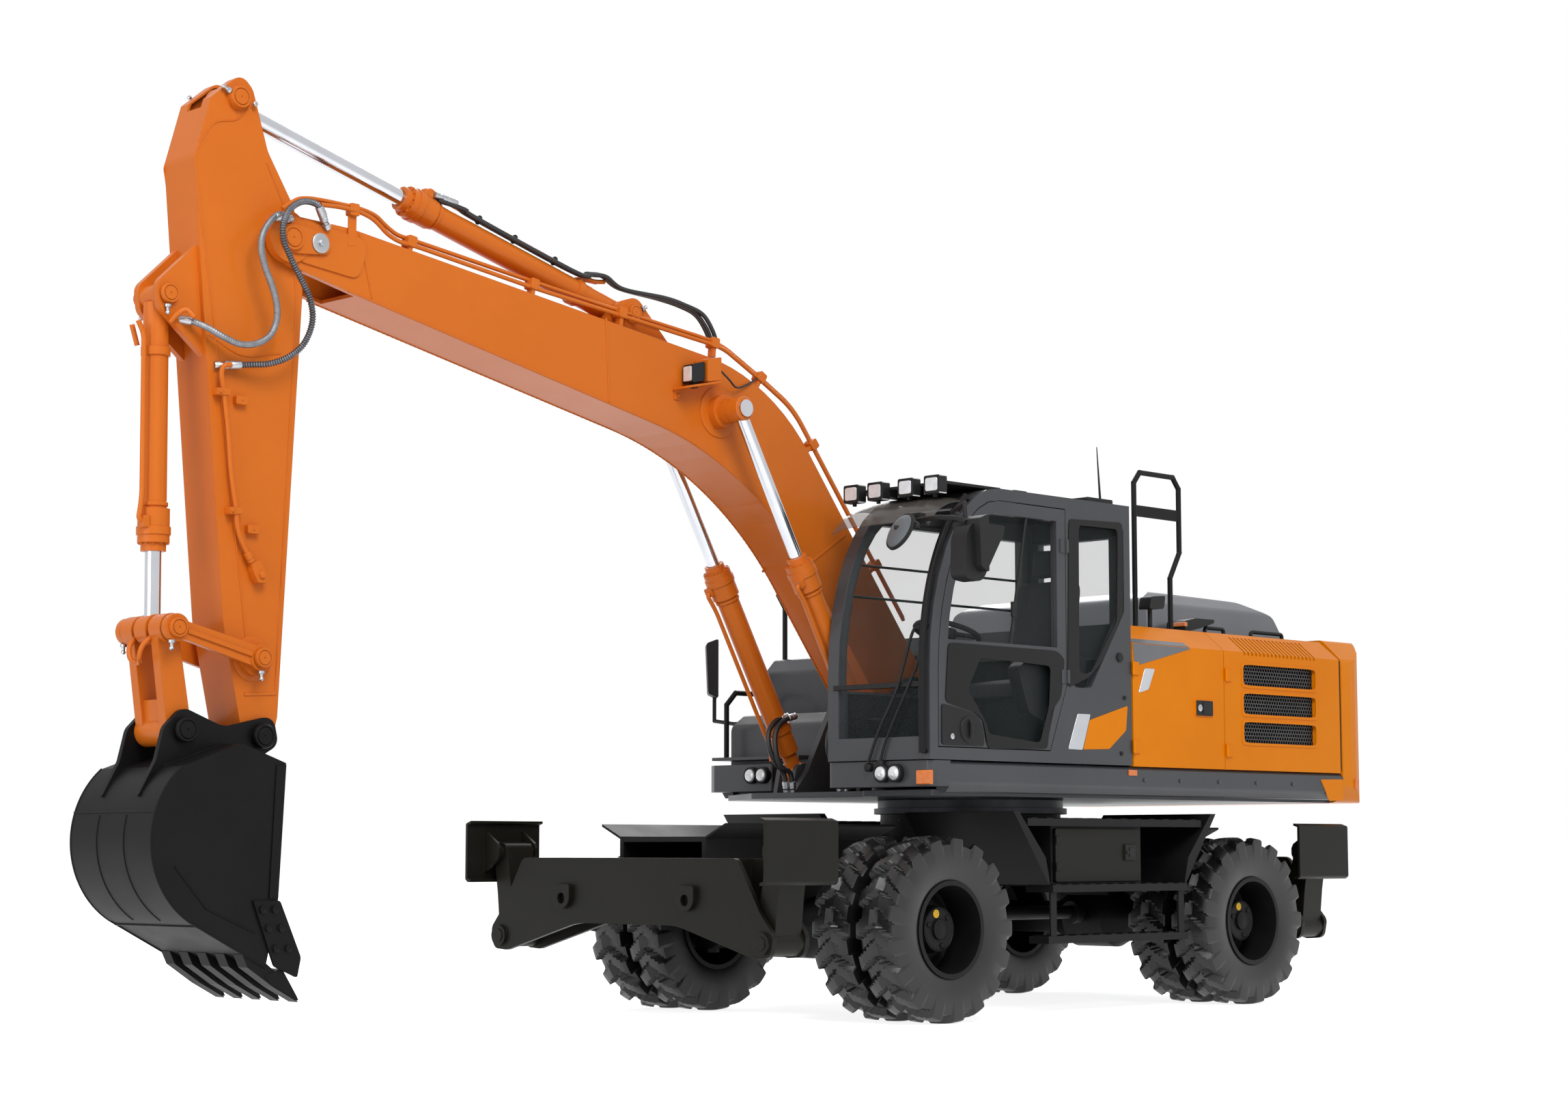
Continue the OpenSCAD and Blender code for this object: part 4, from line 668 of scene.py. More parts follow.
@dataclass
class Studio:
    """Camera of the photograph, a pale floor and soft light.

    Attributes:
        eye: place of the camera in millimetres.
        yaw: heading of the view in degrees from +X.
        pitch: tilt of the view upwards in degrees.
        focal_px: focal length in pixels of the photograph.
        width_px: width of the photograph.
    """

    eye: tuple[float, float, float] = (13445.0, 11935.0, 977.0)
    yaw: float = -134.958
    pitch: float = 6.0
    focal_px: float = 4130.224
    width_px: float = 2296.0

    def camera(self) -> None:
        """Sets the camera."""
        data = bpy.data.cameras.new("camera")
        data.sensor_fit = "HORIZONTAL"
        data.sensor_width = 36.0
        data.lens = 36.0 * self.focal_px / self.width_px
        data.clip_end = 300.0
        obj = bpy.data.objects.new("camera", data)
        yaw, pitch = math.radians(self.yaw), math.radians(self.pitch)
        look = Vector((math.cos(yaw) * math.cos(pitch), math.sin(yaw) * math.cos(pitch), math.sin(pitch)))
        obj.location = at(*self.eye)
        obj.rotation_euler = look.to_track_quat("-Z", "Y").to_euler()
        bpy.context.scene.collection.objects.link(obj)
        bpy.context.scene.camera = obj

    def light(self) -> None:
        """Soft key from the left front, a fill, a rim and a pale world that is seen as white."""
        scene = bpy.context.scene
        scene.view_settings.view_transform = "Standard"
        world = bpy.data.worlds.new("studio")
        scene.world = world
        world.use_nodes = True
        tree = world.node_tree
        tree.nodes.clear()
        ambient = add_node(tree, "ShaderNodeBackground", Color=(0.93, 0.96, 1.0, 1.0), Strength=0.45)
        white = add_node(tree, "ShaderNodeBackground", Color=(1.0, 1.0, 1.0, 1.0), Strength=1.0)
        links = {0: seen_rays(tree), 1: ambient.outputs[0], 2: white.outputs[0]}
        mix = add_node(tree, "ShaderNodeMixShader", links=links)
        add_node(tree, "ShaderNodeOutputWorld", links={"Surface": mix.outputs[0]})
        for name, spot, aim, size, power in (
            ("key", (6.5, 11.0, 12.0), (0.5, 0.5, 1.5), 7.0, 1420.0),
            ("front fill", (15.0, 1.0, 5.0), (0.0, 0.0, 1.5), 8.0, 480.0),
            ("back rim", (-9.0, -8.0, 9.0), (0.0, 0.0, 1.5), 7.0, 760.0),
        ):
            data = bpy.data.lights.new(name, "AREA")
            data.energy = power
            data.size = size
            obj = bpy.data.objects.new(name, data)
            obj.location = spot
            obj.rotation_euler = (Vector(aim) - Vector(spot)).to_track_quat("-Z", "Y").to_euler()
            scene.collection.objects.link(obj)

    def floor(self) -> None:
        """Wide pale floor, a flat disc that mirrors nothing, keeps the shadows and is seen a little lighter."""
        rows = [[0, -FLOOR_DEPTH], [FLOOR_RADIUS, -FLOOR_DEPTH], [FLOOR_RADIUS, 0], [0, 0]]
        disc = lathe(rows, np.zeros(3), Z, 96)
        obj = mesh_object("floor", disc.verts, disc.faces, False)
        mat = bpy.data.materials.new("studio floor")
        mat.use_nodes = True
        shader = mat.node_tree.nodes["Principled BSDF"]
        shader.inputs["Base Color"].default_value = linear("#EDEDED")
        shader.inputs["Roughness"].default_value = 0.9
        shader.inputs["Specular IOR Level"].default_value = 0.0
        shader.inputs["Emission Color"].default_value = (1.0, 1.0, 1.0, 1.0)
        links = {0: seen_rays(mat.node_tree)}
        glow = add_node(mat.node_tree, "ShaderNodeMath", {"operation": "MULTIPLY"}, links)
        glow.inputs[1].default_value = FLOOR_GLOW
        mat.node_tree.links.new(glow.outputs[0], shader.inputs["Emission Strength"])
        obj.data.materials.append(mat)


@dataclass
class TwinWheel:
    """Pair of tyres with chevron lugs and the nuts of their rim.

    Attributes:
        corner: name of the corner, front or rear and left or right.
        axle_x: place of the axle in millimetres.
        side: one on the left, minus one on the right.
        radius: radius over the lugs.
        width: width of a tyre.
        bead: radius of the bead.
        lugs: lugs round a tyre.
        lug_depth: depth of a lug.
    """

    corner: str
    axle_x: float
    side: int
    radius: float = 527.5
    width: float = 278.0
    bead: float = 264.0
    lugs: int = 17
    lug_depth: float = 36.0

    def tyre(self, centre_y: float) -> Shape:
        """One tyre: rows of width and radius, raised in lugs that lean with the distance from the crown.

        Args:
            centre_y: middle of the tyre across the machine, in millimetres.

        Returns:
            A closed ring.
        """
        half = self.width / 2
        side = np.array(
            [[0.80, 0], [0.86, 14], [0.93, 50], [0.985, 95], [1.0, 135], [0.99, 165], [0.955, 196]]
        )
        crown = np.array(
            [[0.93, 214], [0.86, 221], [0.72, 225], [0.55, 227], [0.36, 228], [0.18, 228.5], [0.06, 229]]
        )
        half_rows = np.vstack([side, crown])
        rows = np.vstack([half_rows, (half_rows * [-1, 1])[::-1]])
        y = rows[:, 0] * half
        rise = self.bead + rows[:, 1] * (self.radius - self.lug_depth - self.bead) / crown[-1, 1]
        a = np.linspace(0, TAU, self.lugs * 24, endpoint=False)[:, None]
        across = np.abs(rows[:, 0])[None]
        phase = (a / TAU * self.lugs - 0.5 * (1 - np.minimum(across / 0.91, 1))) % 1.0
        phase = (phase + np.where(rows[:, 0] < 0, 0.5, 0.0)[None]) % 1.0
        ramp = np.clip((0.29 - np.abs(phase - 0.5)) / 0.05, 0, 1)
        reach = np.clip((rise - self.bead - 150) / 55, 0, 1)[None] * np.where(across < 0.1, 0.55, 1.0)
        lug = self.lug_depth * ramp * reach
        off_ribs = rise - self.bead - 72
        ribs = 3.0 * np.clip(np.cos(off_ribs / 9.0), 0, 1) * (np.abs(off_ribs) < 20)
        r = (rise + lug) / 1000
        lift = np.clip(reach, 0, 1) * ramp * 5.0 * (across > 0.9)
        out = np.abs(y)[None]
        yy = np.sign(rows[:, 0])[None] * (out + np.minimum(ribs[None] + lift, half - out))
        pts = np.stack([r * np.cos(a), np.broadcast_to(yy, r.shape) / 1000, r * np.sin(a)], -1)
        return grid(pts + at(self.axle_x, centre_y, self.radius), wrap_u=True, wrap_v=True)

    def dress(self) -> None:
        """Adds tyres, wheel nuts, cap bolts, plug and valve."""
        body = f"wheel_{self.corner}"
        both = self.tyre(self.side * 1126.0) + self.tyre(self.side * 784.0)
        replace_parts(piece(f"lugged_tyres_{self.corner}", both, body, Slot.tyre), f"tyres_{self.corner}")
        a = np.linspace(0, TAU, 10, endpoint=False)
        ring = np.stack([np.cos(a), np.zeros(10), np.sin(a)], -1)
        hub, face = at(self.axle_x, 0, self.radius), Y * self.side
        hub[1] = 0
        nuts = bolts(hub + ring * 0.195 + face * 0.974, face, 19)
        dome = lathe([[0, 0], [17, 0], [16, 8], [10, 14], [0, 16]], np.zeros(3), Z, 16)
        three = np.array([0.3, 0.3 + TAU / 3, 0.3 + 2 * TAU / 3])
        spots = np.stack([np.cos(three), np.zeros(3), np.sin(three)], -1) * 0.094 + hub + face * 1.155
        rise = lathe([[0, 1140], [62, 1140], [60, 1172], [48, 1180], [0, 1182]], hub, face, 32)
        lip = lathe([[118, 1148], [126, 1148], [126, 1156], [118, 1160], [112, 1154]], hub, face, 48)
        valve = lathe(
            [[0, 0], [7, 0], [7, 30], [4, 32], [4, 52], [0, 52]], hub + face * 0.985 + X * 0.215, face, 10
        )
        metal = nuts + dome.copies(spots, *axes_of(face)) + rise + lip + valve
        piece(f"wheel_nuts_{self.corner}", metal, body, Slot.frame_black)
        plug = lathe(
            [[0, 0], [24, 0], [24, 5], [15, 5], [15, 2], [0, 2]], hub + face * 1.157 + Z * 0.088 + X * 0.03,
            face, 24
        )
        piece(f"oil_plug_{self.corner}", plug, body, Slot.frame_black, OIL_PLUG)


@dataclass
class ArmHoses:
    """The two free hoses that cross the boom's tip to the arm, in their guards.

    Attributes:
        guarded: route of the hose in its coil guard, from the boom's pipe to the arm's pipe, in millimetres.
        braided: route of the braided hose, from the boom's pipe to the bucket cylinder's pipe.
        radius: radius over the guard.
        coil_mm: pitch of the guard's coils, drawn coarser than the real wire so that it shows.
    """

    guarded: tuple[Point, ...] = (
        (5062, 206, 4176), (5090, 226, 4222), (5150, 247, 4253), (5241, 262, 4248), (5330, 288, 4195),
        (5385, 306, 4113), (5389, 312, 4025), (5342, 312, 3932), (5273, 306, 3836), (5217, 300, 3751),
        (5190, 292, 3661), (5200, 282, 3578), (5240, 270, 3500), (5314, 255, 3437), (5407, 235, 3398),
        (5503, 206, 3385), (5590, 170, 3376), (5636, 156, 3372),
    )
    braided: tuple[Point, ...] = (
        (5306, 214, 4158), (5362, 234, 4168), (5430, 252, 4118), (5480, 262, 4042), (5490, 268, 3965),
        (5469, 272, 3878), (5428, 272, 3791), (5395, 270, 3704), (5390, 266, 3615), (5424, 258, 3534),
        (5495, 246, 3487), (5580, 230, 3476), (5663, 214, 3502), (5745, 180, 3546), (5812, 130, 3577),
        (5868, 66, 3590),
    )
    radius: float = 17.0
    coil_mm: float = 13.0

    def hose(self, name: str, points: tuple[Point, ...], finish: Finish, ripple: float) -> None:
        """One hose: a tube whose radius swells once for each coil of its guard, with its crimped ends on the
        boom and the arm.

        Args:
            name: the piece's name.
            points: route in millimetres.
            finish: finish of the guard.
            ripple: depth of the coils in millimetres.
        """
        path = even(flowing(route(points), 12), self.coil_mm / 5000)
        run = np.arange(len(path)) * self.coil_mm / 5
        radius = (self.radius - ripple * (0.5 + 0.5 * np.cos(TAU * run / self.coil_mm)) ** 2) / 1000
        obj = piece(name, tube(path, radius, 10), "", Slot.trim, finish)
        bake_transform(obj)
        for end, body, a, b in (
            ("boom", "boom_beam", path[0], path[40]), ("arm", "arm_beam", path[-1], path[-40])
        ):
            piece(
                f"{name}_{end}_end", sleeve(a - (b - a) * 0.35, b, self.radius + 1.5), body, Slot.trim, STEEL
            )

    def dress(self) -> None:
        """Adds both hoses with their crimped ends."""
        self.hose("guarded_hose", self.guarded, SPRING_WIRE, 5.0)
        self.hose("braided_hose", self.braided, BRAID, 1.0)


@dataclass
class BoomDress:
    """Pipes, clamps, welds, pins and lamp on the boom.

    Attributes:
        half: half the boom's width.
        pipe_r: radius of a pipe.
        outer: route of the outer pipe in millimetres.
        inner: route of the inner pipe.
    """

    half: float = 180.0
    pipe_r: float = 12.0
    outer: tuple[Point, ...] = (
        (5120, 243, 4255), (5000, 226, 4268), (4843, 200, 4271), (4743, 190, 4250), (4641, 180, 4182),
        (4560, 172, 4158), (4445, 168, 4152), (3639, 168, 4044), (3074, 168, 3986), (2345, 168, 3908),
        (2198, 168, 3890), (1898, 168, 3742), (1618, 168, 3590), (1303, 168, 3196), (653, 168, 2384),
    )
    inner: tuple[Point, ...] = (
        (5350, 242, 4196), (5303, 240, 4233), (5250, 238, 4266), (5180, 232, 4280), (5060, 214, 4288),
        (4898, 190, 4292), (4790, 176, 4290), (4703, 160, 4276), (4640, 150, 4238), (4559, 144, 4200),
        (4482, 142, 4192), (3614, 142, 4084), (3074, 142, 4018), (2345, 142, 3940), (2180, 142, 3912),
        (1880, 142, 3764), (1594, 142, 3609), (1280, 142, 3215), (630, 142, 2403),
    )

    def edge_line(self) -> np.ndarray:
        """Lower left edge of the beam, as the CAD rounds it: two straight runs and an arc of 2.3 m."""
        bend = 2300.0  # millimetres, radius of the arc
        low = np.array([[4895.0, 3847.0], [1946.0, 3216.0], [771.5, 1712.0]])
        a, b = unit(low[0] - low[1]), unit(low[2] - low[1])
        half = math.acos(float(a @ b)) / 2
        centre = low[1] + unit(a + b) * bend / math.sin(half)
        s, e = low[1] + a * bend / math.tan(half) - centre, low[1] + b * bend / math.tan(half) - centre
        a0, a1 = math.atan2(s[1], s[0]), math.atan2(e[1], e[0])
        t = np.linspace(a0, a0 + (a1 - a0 + math.pi) % TAU - math.pi, 24)
        arc = centre + bend * np.stack([np.cos(t), np.sin(t)], -1)
        line = np.vstack([low[:1], arc, low[2:]])
        return np.array([at(x, self.half + 1.5, z) for x, z in line])

    def pipes(self) -> None:
        """Two pipes along the back edge with their clamps and the post at the tip."""
        runs = pipe(self.outer, self.pipe_r, 120) + pipe(self.inner, self.pipe_r, 120)
        clamps = [
            ((4482, 4172), 8), ((3639, 4064), 8), ((2990, 3993), 8), ((2270, 3912), 5), ((1890, 3753), 30),
            ((1450, 3396), 51), ((900, 2708), 51)
        ]
        parts = []
        for (x, z), slope in clamps:
            t = math.radians(slope)
            u, w = np.array([math.cos(t), 0, math.sin(t)]), np.array([-math.sin(t), 0, math.cos(t)])
            cap = rounded_outline(
                np.array([[-0.03, -0.028], [0.03, -0.028], [0.03, 0.03], [-0.03, 0.03]]), 0.012
            )
            parts.append(panel(cap, at(x, 124, z), w, u, 0.064))
            foot = np.array([[-0.012, -0.085], [0.012, -0.085], [0.012, -0.02], [-0.012, -0.02]])
            parts.append(panel(foot[:, ::-1], at(x, 130, z), w, u, 0.046))
            parts.append(bolts(at(x, 156, z) + w * 0.03, w, 11))
        post = (
            side_plate([(4905, 4080), (4853, 4090), (4853, 4262), (4905, 4256)], 184, 8, 6)
            + block((4850, 168, 4242), (4908, 214, 4306), 10)
        )
        piece("boom_pipes", runs + joined(parts) + post, "boom_beam", Slot.boom_paint)

    def welds(self) -> None:
        """Beads along the lower edge, and the straps over the plate joints."""
        line = even(self.edge_line(), 0.012)
        wave = (5.0 + 0.9 * np.sin(np.arange(len(line)) * 2.4)) / 1000
        bead = tube(line, wave, 8)
        straps = side_plate([(3112, 3944), (3126, 3944), (3098, 3470), (3084, 3470)], self.half - 1, 5)
        straps += side_plate([(1536, 2655), (1528, 2643), (1180, 2866), (1188, 2878)], self.half - 1, 5)
        straps += side_plate([(4826, 4165), (4834, 4165), (4744, 3830), (4736, 3830)], self.half - 1, 5)
        piece("boom_welds", (bead + straps).both(), "boom_beam", Slot.boom_paint)

    def pins(self) -> None:
        """Pin ends, the locking strap at the tip with its zinc washer, and grease fittings."""
        strap = side_plate(
            [
                (5340, 4066), (5300, 4136), (5230, 4142), (5040, 4120), (5010, 4066), (5040, 4012),
                (5230, 3990), (5300, 3996)
            ],
            self.half + 13, 14, 40
        )
        ends = strap + pin_end(5262, self.half + 30, 4066, 66) + pin_end(2865, 140, 4016, 44)
        ends += lathe([[100, 0], [150, 0], [150, 6], [140, 9], [100, 9]], at(2245, self.half, 3505), Y)
        piece("boom_pin_ends", ends.both(), "boom_beam", Slot.boom_paint)
        washer = lathe(
            [[0, 0], [52, 0], [52, 9], [44, 12], [12, 12], [0, 12]], at(5091, self.half + 26, 4064), Y
        )
        washer += bolts(at(5091, self.half + 38, 4064), Y, 17)
        washer += (
            nipple(at(2805, 128, 4044), unit(-X + 0.5 * Z), 0.9)
            + nipple(at(2925, 128, 3985), unit(X - 0.4 * Z), 0.9)
        )
        piece("boom_zinc_fittings", washer.both(), "boom_beam", Slot.boom_paint, STEEL)

    def lamp(self) -> None:
        """Work lamp on its shelf on the left face, with a guard plate behind it and a lead."""
        shelf = side_plate([(2610, 3592), (2610, 3606), (2330, 3668), (2330, 3654)], self.half - 1, 120)
        shelf += side_plate([(2600, 3540), (2560, 3540), (2560, 3612), (2600, 3604)], self.half - 1, 10, 4)
        shelf += side_plate([(2438, 3650), (2330, 3672), (2330, 3806), (2438, 3784)], self.half + 6, 108, 8)
        piece("lamp_shelf", shelf + bolts(at(2572, self.half + 9, 3565), Y, 14), "boom_beam", Slot.boom_paint)
        shell = side_plate([(2545, 3634), (2545, 3742), (2450, 3768), (2450, 3656)], self.half + 16, 86, 14)
        piece(
            "boom_lamp_shell", shell + block((2480, self.half + 40, 3612), (2515, self.half + 76, 3650), 6),
            "boom_beam", Slot.trim
        )
        lens = front_plate(
            rectangle(self.half + 26, 3646, self.half + 92, 3732),
            2543, 8, 10
        )
        piece("boom_lamp_lens", lens, "boom_beam", Slot.lens)
        lead = flowing(
            route(
                [
                    (2330, self.half + 92, 3740), (2240, 262, 3690), (2130, 215, 3660), (2010, 192, 3700),
                    (1935, 180, 3742)
                ]
            ),
            8
        )
        piece("boom_lamp_lead", tube(lead, 0.006, 8), "boom_beam", Slot.trim, HOSE_RUBBER)

    def dress(self) -> None:
        """Adds all of the boom's pieces."""
        self.pipes()
        self.welds()
        self.pins()
        self.lamp()


@dataclass(frozen=True)
class Cylinder:
    """Fittings of a hydraulic cylinder whose tube runs from a base pin towards a rod pin.

    Attributes:
        name: short name, not used.
        body: CAD body of the tube, not used.
        base: base pin in X and Z, millimetres.
        rod: rod pin in X and Z.
        y: place across the machine.
        tube_r: radius of the tube.
        length: length of the tube from the base pin.
        line_side: direction in which the hard line lies, one up or minus one down in the cylinder's plane.
        line_y: place of the hard line across the machine, from the axis.
    """

    name: str
    body: str
    base: tuple[float, float]
    rod: tuple[float, float]
    y: float
    tube_r: float
    length: float
    line_side: float = 1.0
    line_y: float = 40.0

    def along(self, s: float, off: float = 0.0, y: float = 0.0) -> np.ndarray:
        """Place at s along the axis, off it in the cylinder's plane and y across, in millimetres."""
        u = unit(np.array(self.rod, float) - np.array(self.base, float))
        x, z = np.array(self.base, float) + u * s + np.array([-u[1], u[0]]) * off
        return at(x, self.y + y, z)

    def shape(self) -> Shape:
        """Head ring with socket bolts, base collar, clamp band, ports and the hard line."""
        axis = self.along(1) - self.along(0)
        u, v, w = axes_of(axis)
        a = np.linspace(0, TAU, 12, endpoint=False)
        ring = np.cos(a)[:, None] * u + np.sin(a)[:, None] * v
        r = self.tube_r
        parts = [bolts(self.along(self.length - 40) + ring * (r + 4) / 1000, w, 9)]
        parts.append(lathe([[r, 0], [r + 22, 0], [r + 22, 40], [r, 44]], self.along(self.length - 120), w))
        parts.append(
            lathe([[r - 1, 0], [r + 7, 6], [r + 7, 22], [r - 1, 28]], self.along(self.length - 246), w)
        )
        parts.append(
            lathe([[r - 1, 0], [r + 10, 4], [r + 10, 46], [r - 1, 50]], self.along(0.2 * self.length), w)
        )
        side = self.line_side
        off = side * (r + 26)
        line = [
            self.along(self.length - 140, side * (r + 2), self.line_y),
            self.along(self.length - 150, side * (r + 44), self.line_y)
        ]
        line += [
            self.along(self.length - 260, off, self.line_y), self.along(0.16 * self.length, off, self.line_y),
            self.along(0.11 * self.length, side * (r + 60), self.line_y)
        ]
        parts.append(tube(bent(np.array(line), 0.05), 0.013, 12))
        second = [
            self.along(0.2 * self.length, off, -self.line_y + 8),
            self.along(0.12 * self.length, side * (r + 58), -self.line_y + 8)
        ]
        parts.append(tube(np.array(second), 0.013, 12))
        pad = np.array([[-0.03, -0.026], [0.03, -0.026], [0.03, 0.026], [-0.03, 0.026]])
        q = unit(self.along(0, 1) - self.along(0))
        parts.append(
            panel(
                rounded_outline(pad, 0.008), self.along(self.length - 140, side * (r - 4), self.line_y),
                *((w, Y) if side > 0 else (Y, w)), 0.034
            )
        )
        parts.append(bolts(self.along(0.2 * self.length + 24, side * (r + 8), 0), q * side, 10))
        return joined(parts)


CROWD = Cylinder("crowd", "crowd_tube", (2865, 4016), (5559, 4750), 0, 70, 1625, 1.0, 30)
# Height over the axis, place across and height at the far end of each hose on the crowd cylinder.
CROWD_LANES = ((86, 44, 80), (94, 20, 82), (80, 66, 68))


def crowd_hoses() -> None:
    """Three hoses that lie on the crowd cylinder and cross to the boom in a loop at its foot."""
    for k, (off, y, low) in enumerate(CROWD_LANES):
        far = [
            CROWD.along(1390 + 20 * k, low, y), CROWD.along(1300 - 30 * k, off + 12, y),
            CROWD.along(1160, off, y)
        ]
        near = [
            CROWD.along(420, off, y), CROWD.along(300, off + 36, y), CROWD.along(200, off + 66, y),
            CROWD.along(60, off + 50, y)
        ]
        tail = route(
            [
                (2613 - 12 * k, y + 20, 4146), (2440, y + 34, 4122), (2334 - 14 * k, y + 40, 4085),
                (2250 - 10 * k, y + 44, 4000), (2205 - 10 * k, y + 46, 3900)
            ]
        )
        path = even(flowing(np.vstack([np.array(far + near), tail]), 16), 0.01)
        obj = piece(f"crowd_hose_{k}", tube(path, 0.013, 14), "", Slot.trim, HOSE_RUBBER)
        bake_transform(obj)


def dress_cylinders() -> None:
    """Adds the fittings of the four cylinders."""
    left = Cylinder("lift_left", "lift_tubes", (1070, 1440), (2245, 3505), 350, 67.5, 1430, -1.0, 30)
    curl = Cylinder("curl", "curl_tube", (5921, 3702), (5900, 2047), 0, 62.5, 1270, 1.0, 34)
    for name, place, radius, half, body in (
        ("lift", (2245, 350, 3505), 69.5, 51, "lift_rods"),
        ("crowd", (5559, 0, 4750), 75.5, 49, "crowd_rod"),
        ("curl", (5900, 0, 2047), 75.5, 51, "curl_rod"),
    ):
        ring = lathe(
            [
                [44, -half], [radius - 3, -half], [radius, 3 - half], [radius, half - 3], [radius - 3, half],
                [44, half]
            ],
            at(*place), Y, 48
        )
        piece(f"{name}_rod_eye", ring.both() if name == "lift" else ring, body, Slot.boom_paint)
    piece("lift_cylinder_fittings", left.shape().both(), "lift_tubes", Slot.boom_paint)
    piece("crowd_cylinder_fittings", CROWD.shape(), "crowd_tube", Slot.boom_paint)
    piece("curl_cylinder_fittings", curl.shape(), "curl_tube", Slot.boom_paint)
    ties = [
        lathe(
            [[0, 0], [24, 0], [27, 4], [27, 10], [24, 14], [0, 14]], CROWD.along(s, 88, 44),
            CROWD.along(1) - CROWD.along(0), 16
        )
        for s in (560, 860, 1120)
    ]
    piece("hose_ties", joined(ties), "crowd_tube", Slot.trim)
    ends = [
        sleeve(CROWD.along(1420 + 20 * k, 84, y), CROWD.along(1345 - 20 * k, off + 24, y), 15)
        for k, (off, y, _) in enumerate(CROWD_LANES)
    ]
    piece("crowd_hose_ends", joined(ends), "crowd_tube", Slot.trim, STEEL)


@dataclass
class ArmDress:
    """Pipe, brackets, welds and pins on the arm, the rockers and the link.

    Attributes:
        half: half the arm's width.
    """

    half: float = 135.0

    def dress(self) -> None:
        """Adds all of the arm's pieces."""
        y = self.half + 30
        down = [
            (5600, 190, 3373), (5640, 184, 3370), (5652, 178, 3330), (5624, y, 3240), (5594, y, 3043),
            (5571, y, 2825), (5538, y, 2657), (5531, y, 2572), (5508, y, 2510), (5453, y, 2420), (5425, y, 2380)
        ]
        run = pipe(down, 13, 60)
        lead = pipe([(5815, 182, 3585), (5850, 160, 3630), (5892, 150, 3600), (5905, 110, 3560)], 13, 40)
        nut = sleeve(at(5425, y, 2380), at(5470, y, 2446), 17)
        body = side_plate(
            [(5440, 2400), (5400, 2412), (5352, 2330), (5362, 2300), (5412, 2298), (5446, 2360)],
            self.half - 1, 52, 10
        )
        body += bolts(at(5392, self.half + 50, 2340), Y, 20)
        for x, z in ((5616, 3240), (5530, 2652)):
            body += (
                side_plate(
                    [(x - 22, z - 18), (x + 56, z - 22), (x + 56, z + 14), (x - 22, z + 18)], self.half - 1,
                    50, 8
                )
                + bolts(at(x + 40, self.half + 49, z - 4), Y, 10)
            )
        for x, z in ((5516, 3208), (5432, 2566)):
            body += (
                side_plate(
                    rectangle(x - 36, z - 22, x + 36, z + 22), self.half - 1,
                    34, 10
                )
                + bolts(at(x, self.half + 32, z), Y, 6)
            )
        piece("arm_pipe", run + lead + nut + body, "arm_beam", Slot.boom_paint)
        seam = [np.array([at(px, self.half + 1.0, pz) for px, pz in line]) for line in (
            [
                (5468, 4745), (5560, 4640), (5700, 4590), (5800, 4420), (5790, 4290), (5690, 3690),
                (5560, 2800), (5440, 1960)
            ],
            [(5380, 4450), (5250, 4180), (5186, 3800), (5210, 3100), (5268, 1760)],
            [(5270, 3480), (5500, 3440), (5700, 3520)],
        )]
        welds = joined(tube(even(flowing(s, 10), 0.014), 0.004, 6) for s in seam)
        strap = side_plate([(5262, 1745), (5450, 1735), (5452, 1752), (5262, 1762)], self.half - 1, 6)
        piece("arm_welds", (welds + strap).both(), "arm_beam", Slot.boom_paint)
        pins = pin_end(5559, self.half + 24, 4750, 58) + pin_end(5921, 122, 3702, 50)
        pins += lathe([[60, 0], [112, 0], [112, 5], [104, 8], [60, 8]], at(5409, self.half, 1921), Y)
        piece("arm_pin_ends", pins.both(), "arm_beam", Slot.boom_paint)
        zinc = (
            nipple(at(5620, self.half + 20, 4770), unit(X + 0.5 * Z))
            + nipple(at(5930, 120, 3644), -Z)
            + bolts(at(5470, self.half + 22, 4730), Y, 14)
        )
        piece("arm_zinc_fittings", zinc.both(), "arm_beam", Slot.boom_paint, STEEL)
        rocker = pin_end(5409, 238, 1921, 50) + pin_end(5900, 232, 2047, 50)
        rocker += side_plate([(5470, 1925), (5845, 2022), (5840, 2046), (5465, 1950)], 224, 8)
        piece("rocker_pin_ends", rocker.both(), "curl_rockers", Slot.boom_paint)
        piece(
            "rocker_zinc_fittings",
            (nipple(at(5405, 215, 1858), -Z) + nipple(at(5925, 215, 1985), -Z)).both(), "curl_rockers",
            Slot.boom_paint, STEEL
        )
        loop = tube(
            flowing(
                route(
                    [(5948, 72, 2010), (5990, 58, 1960), (5996, 40, 1905), (5980, 20, 1885), (5972, 0, 1880)]
                ),
                8
            ),
            0.012, 12
        )
        piece("link_lifting_eye", loop.both(), "curl_link", Slot.boom_paint)


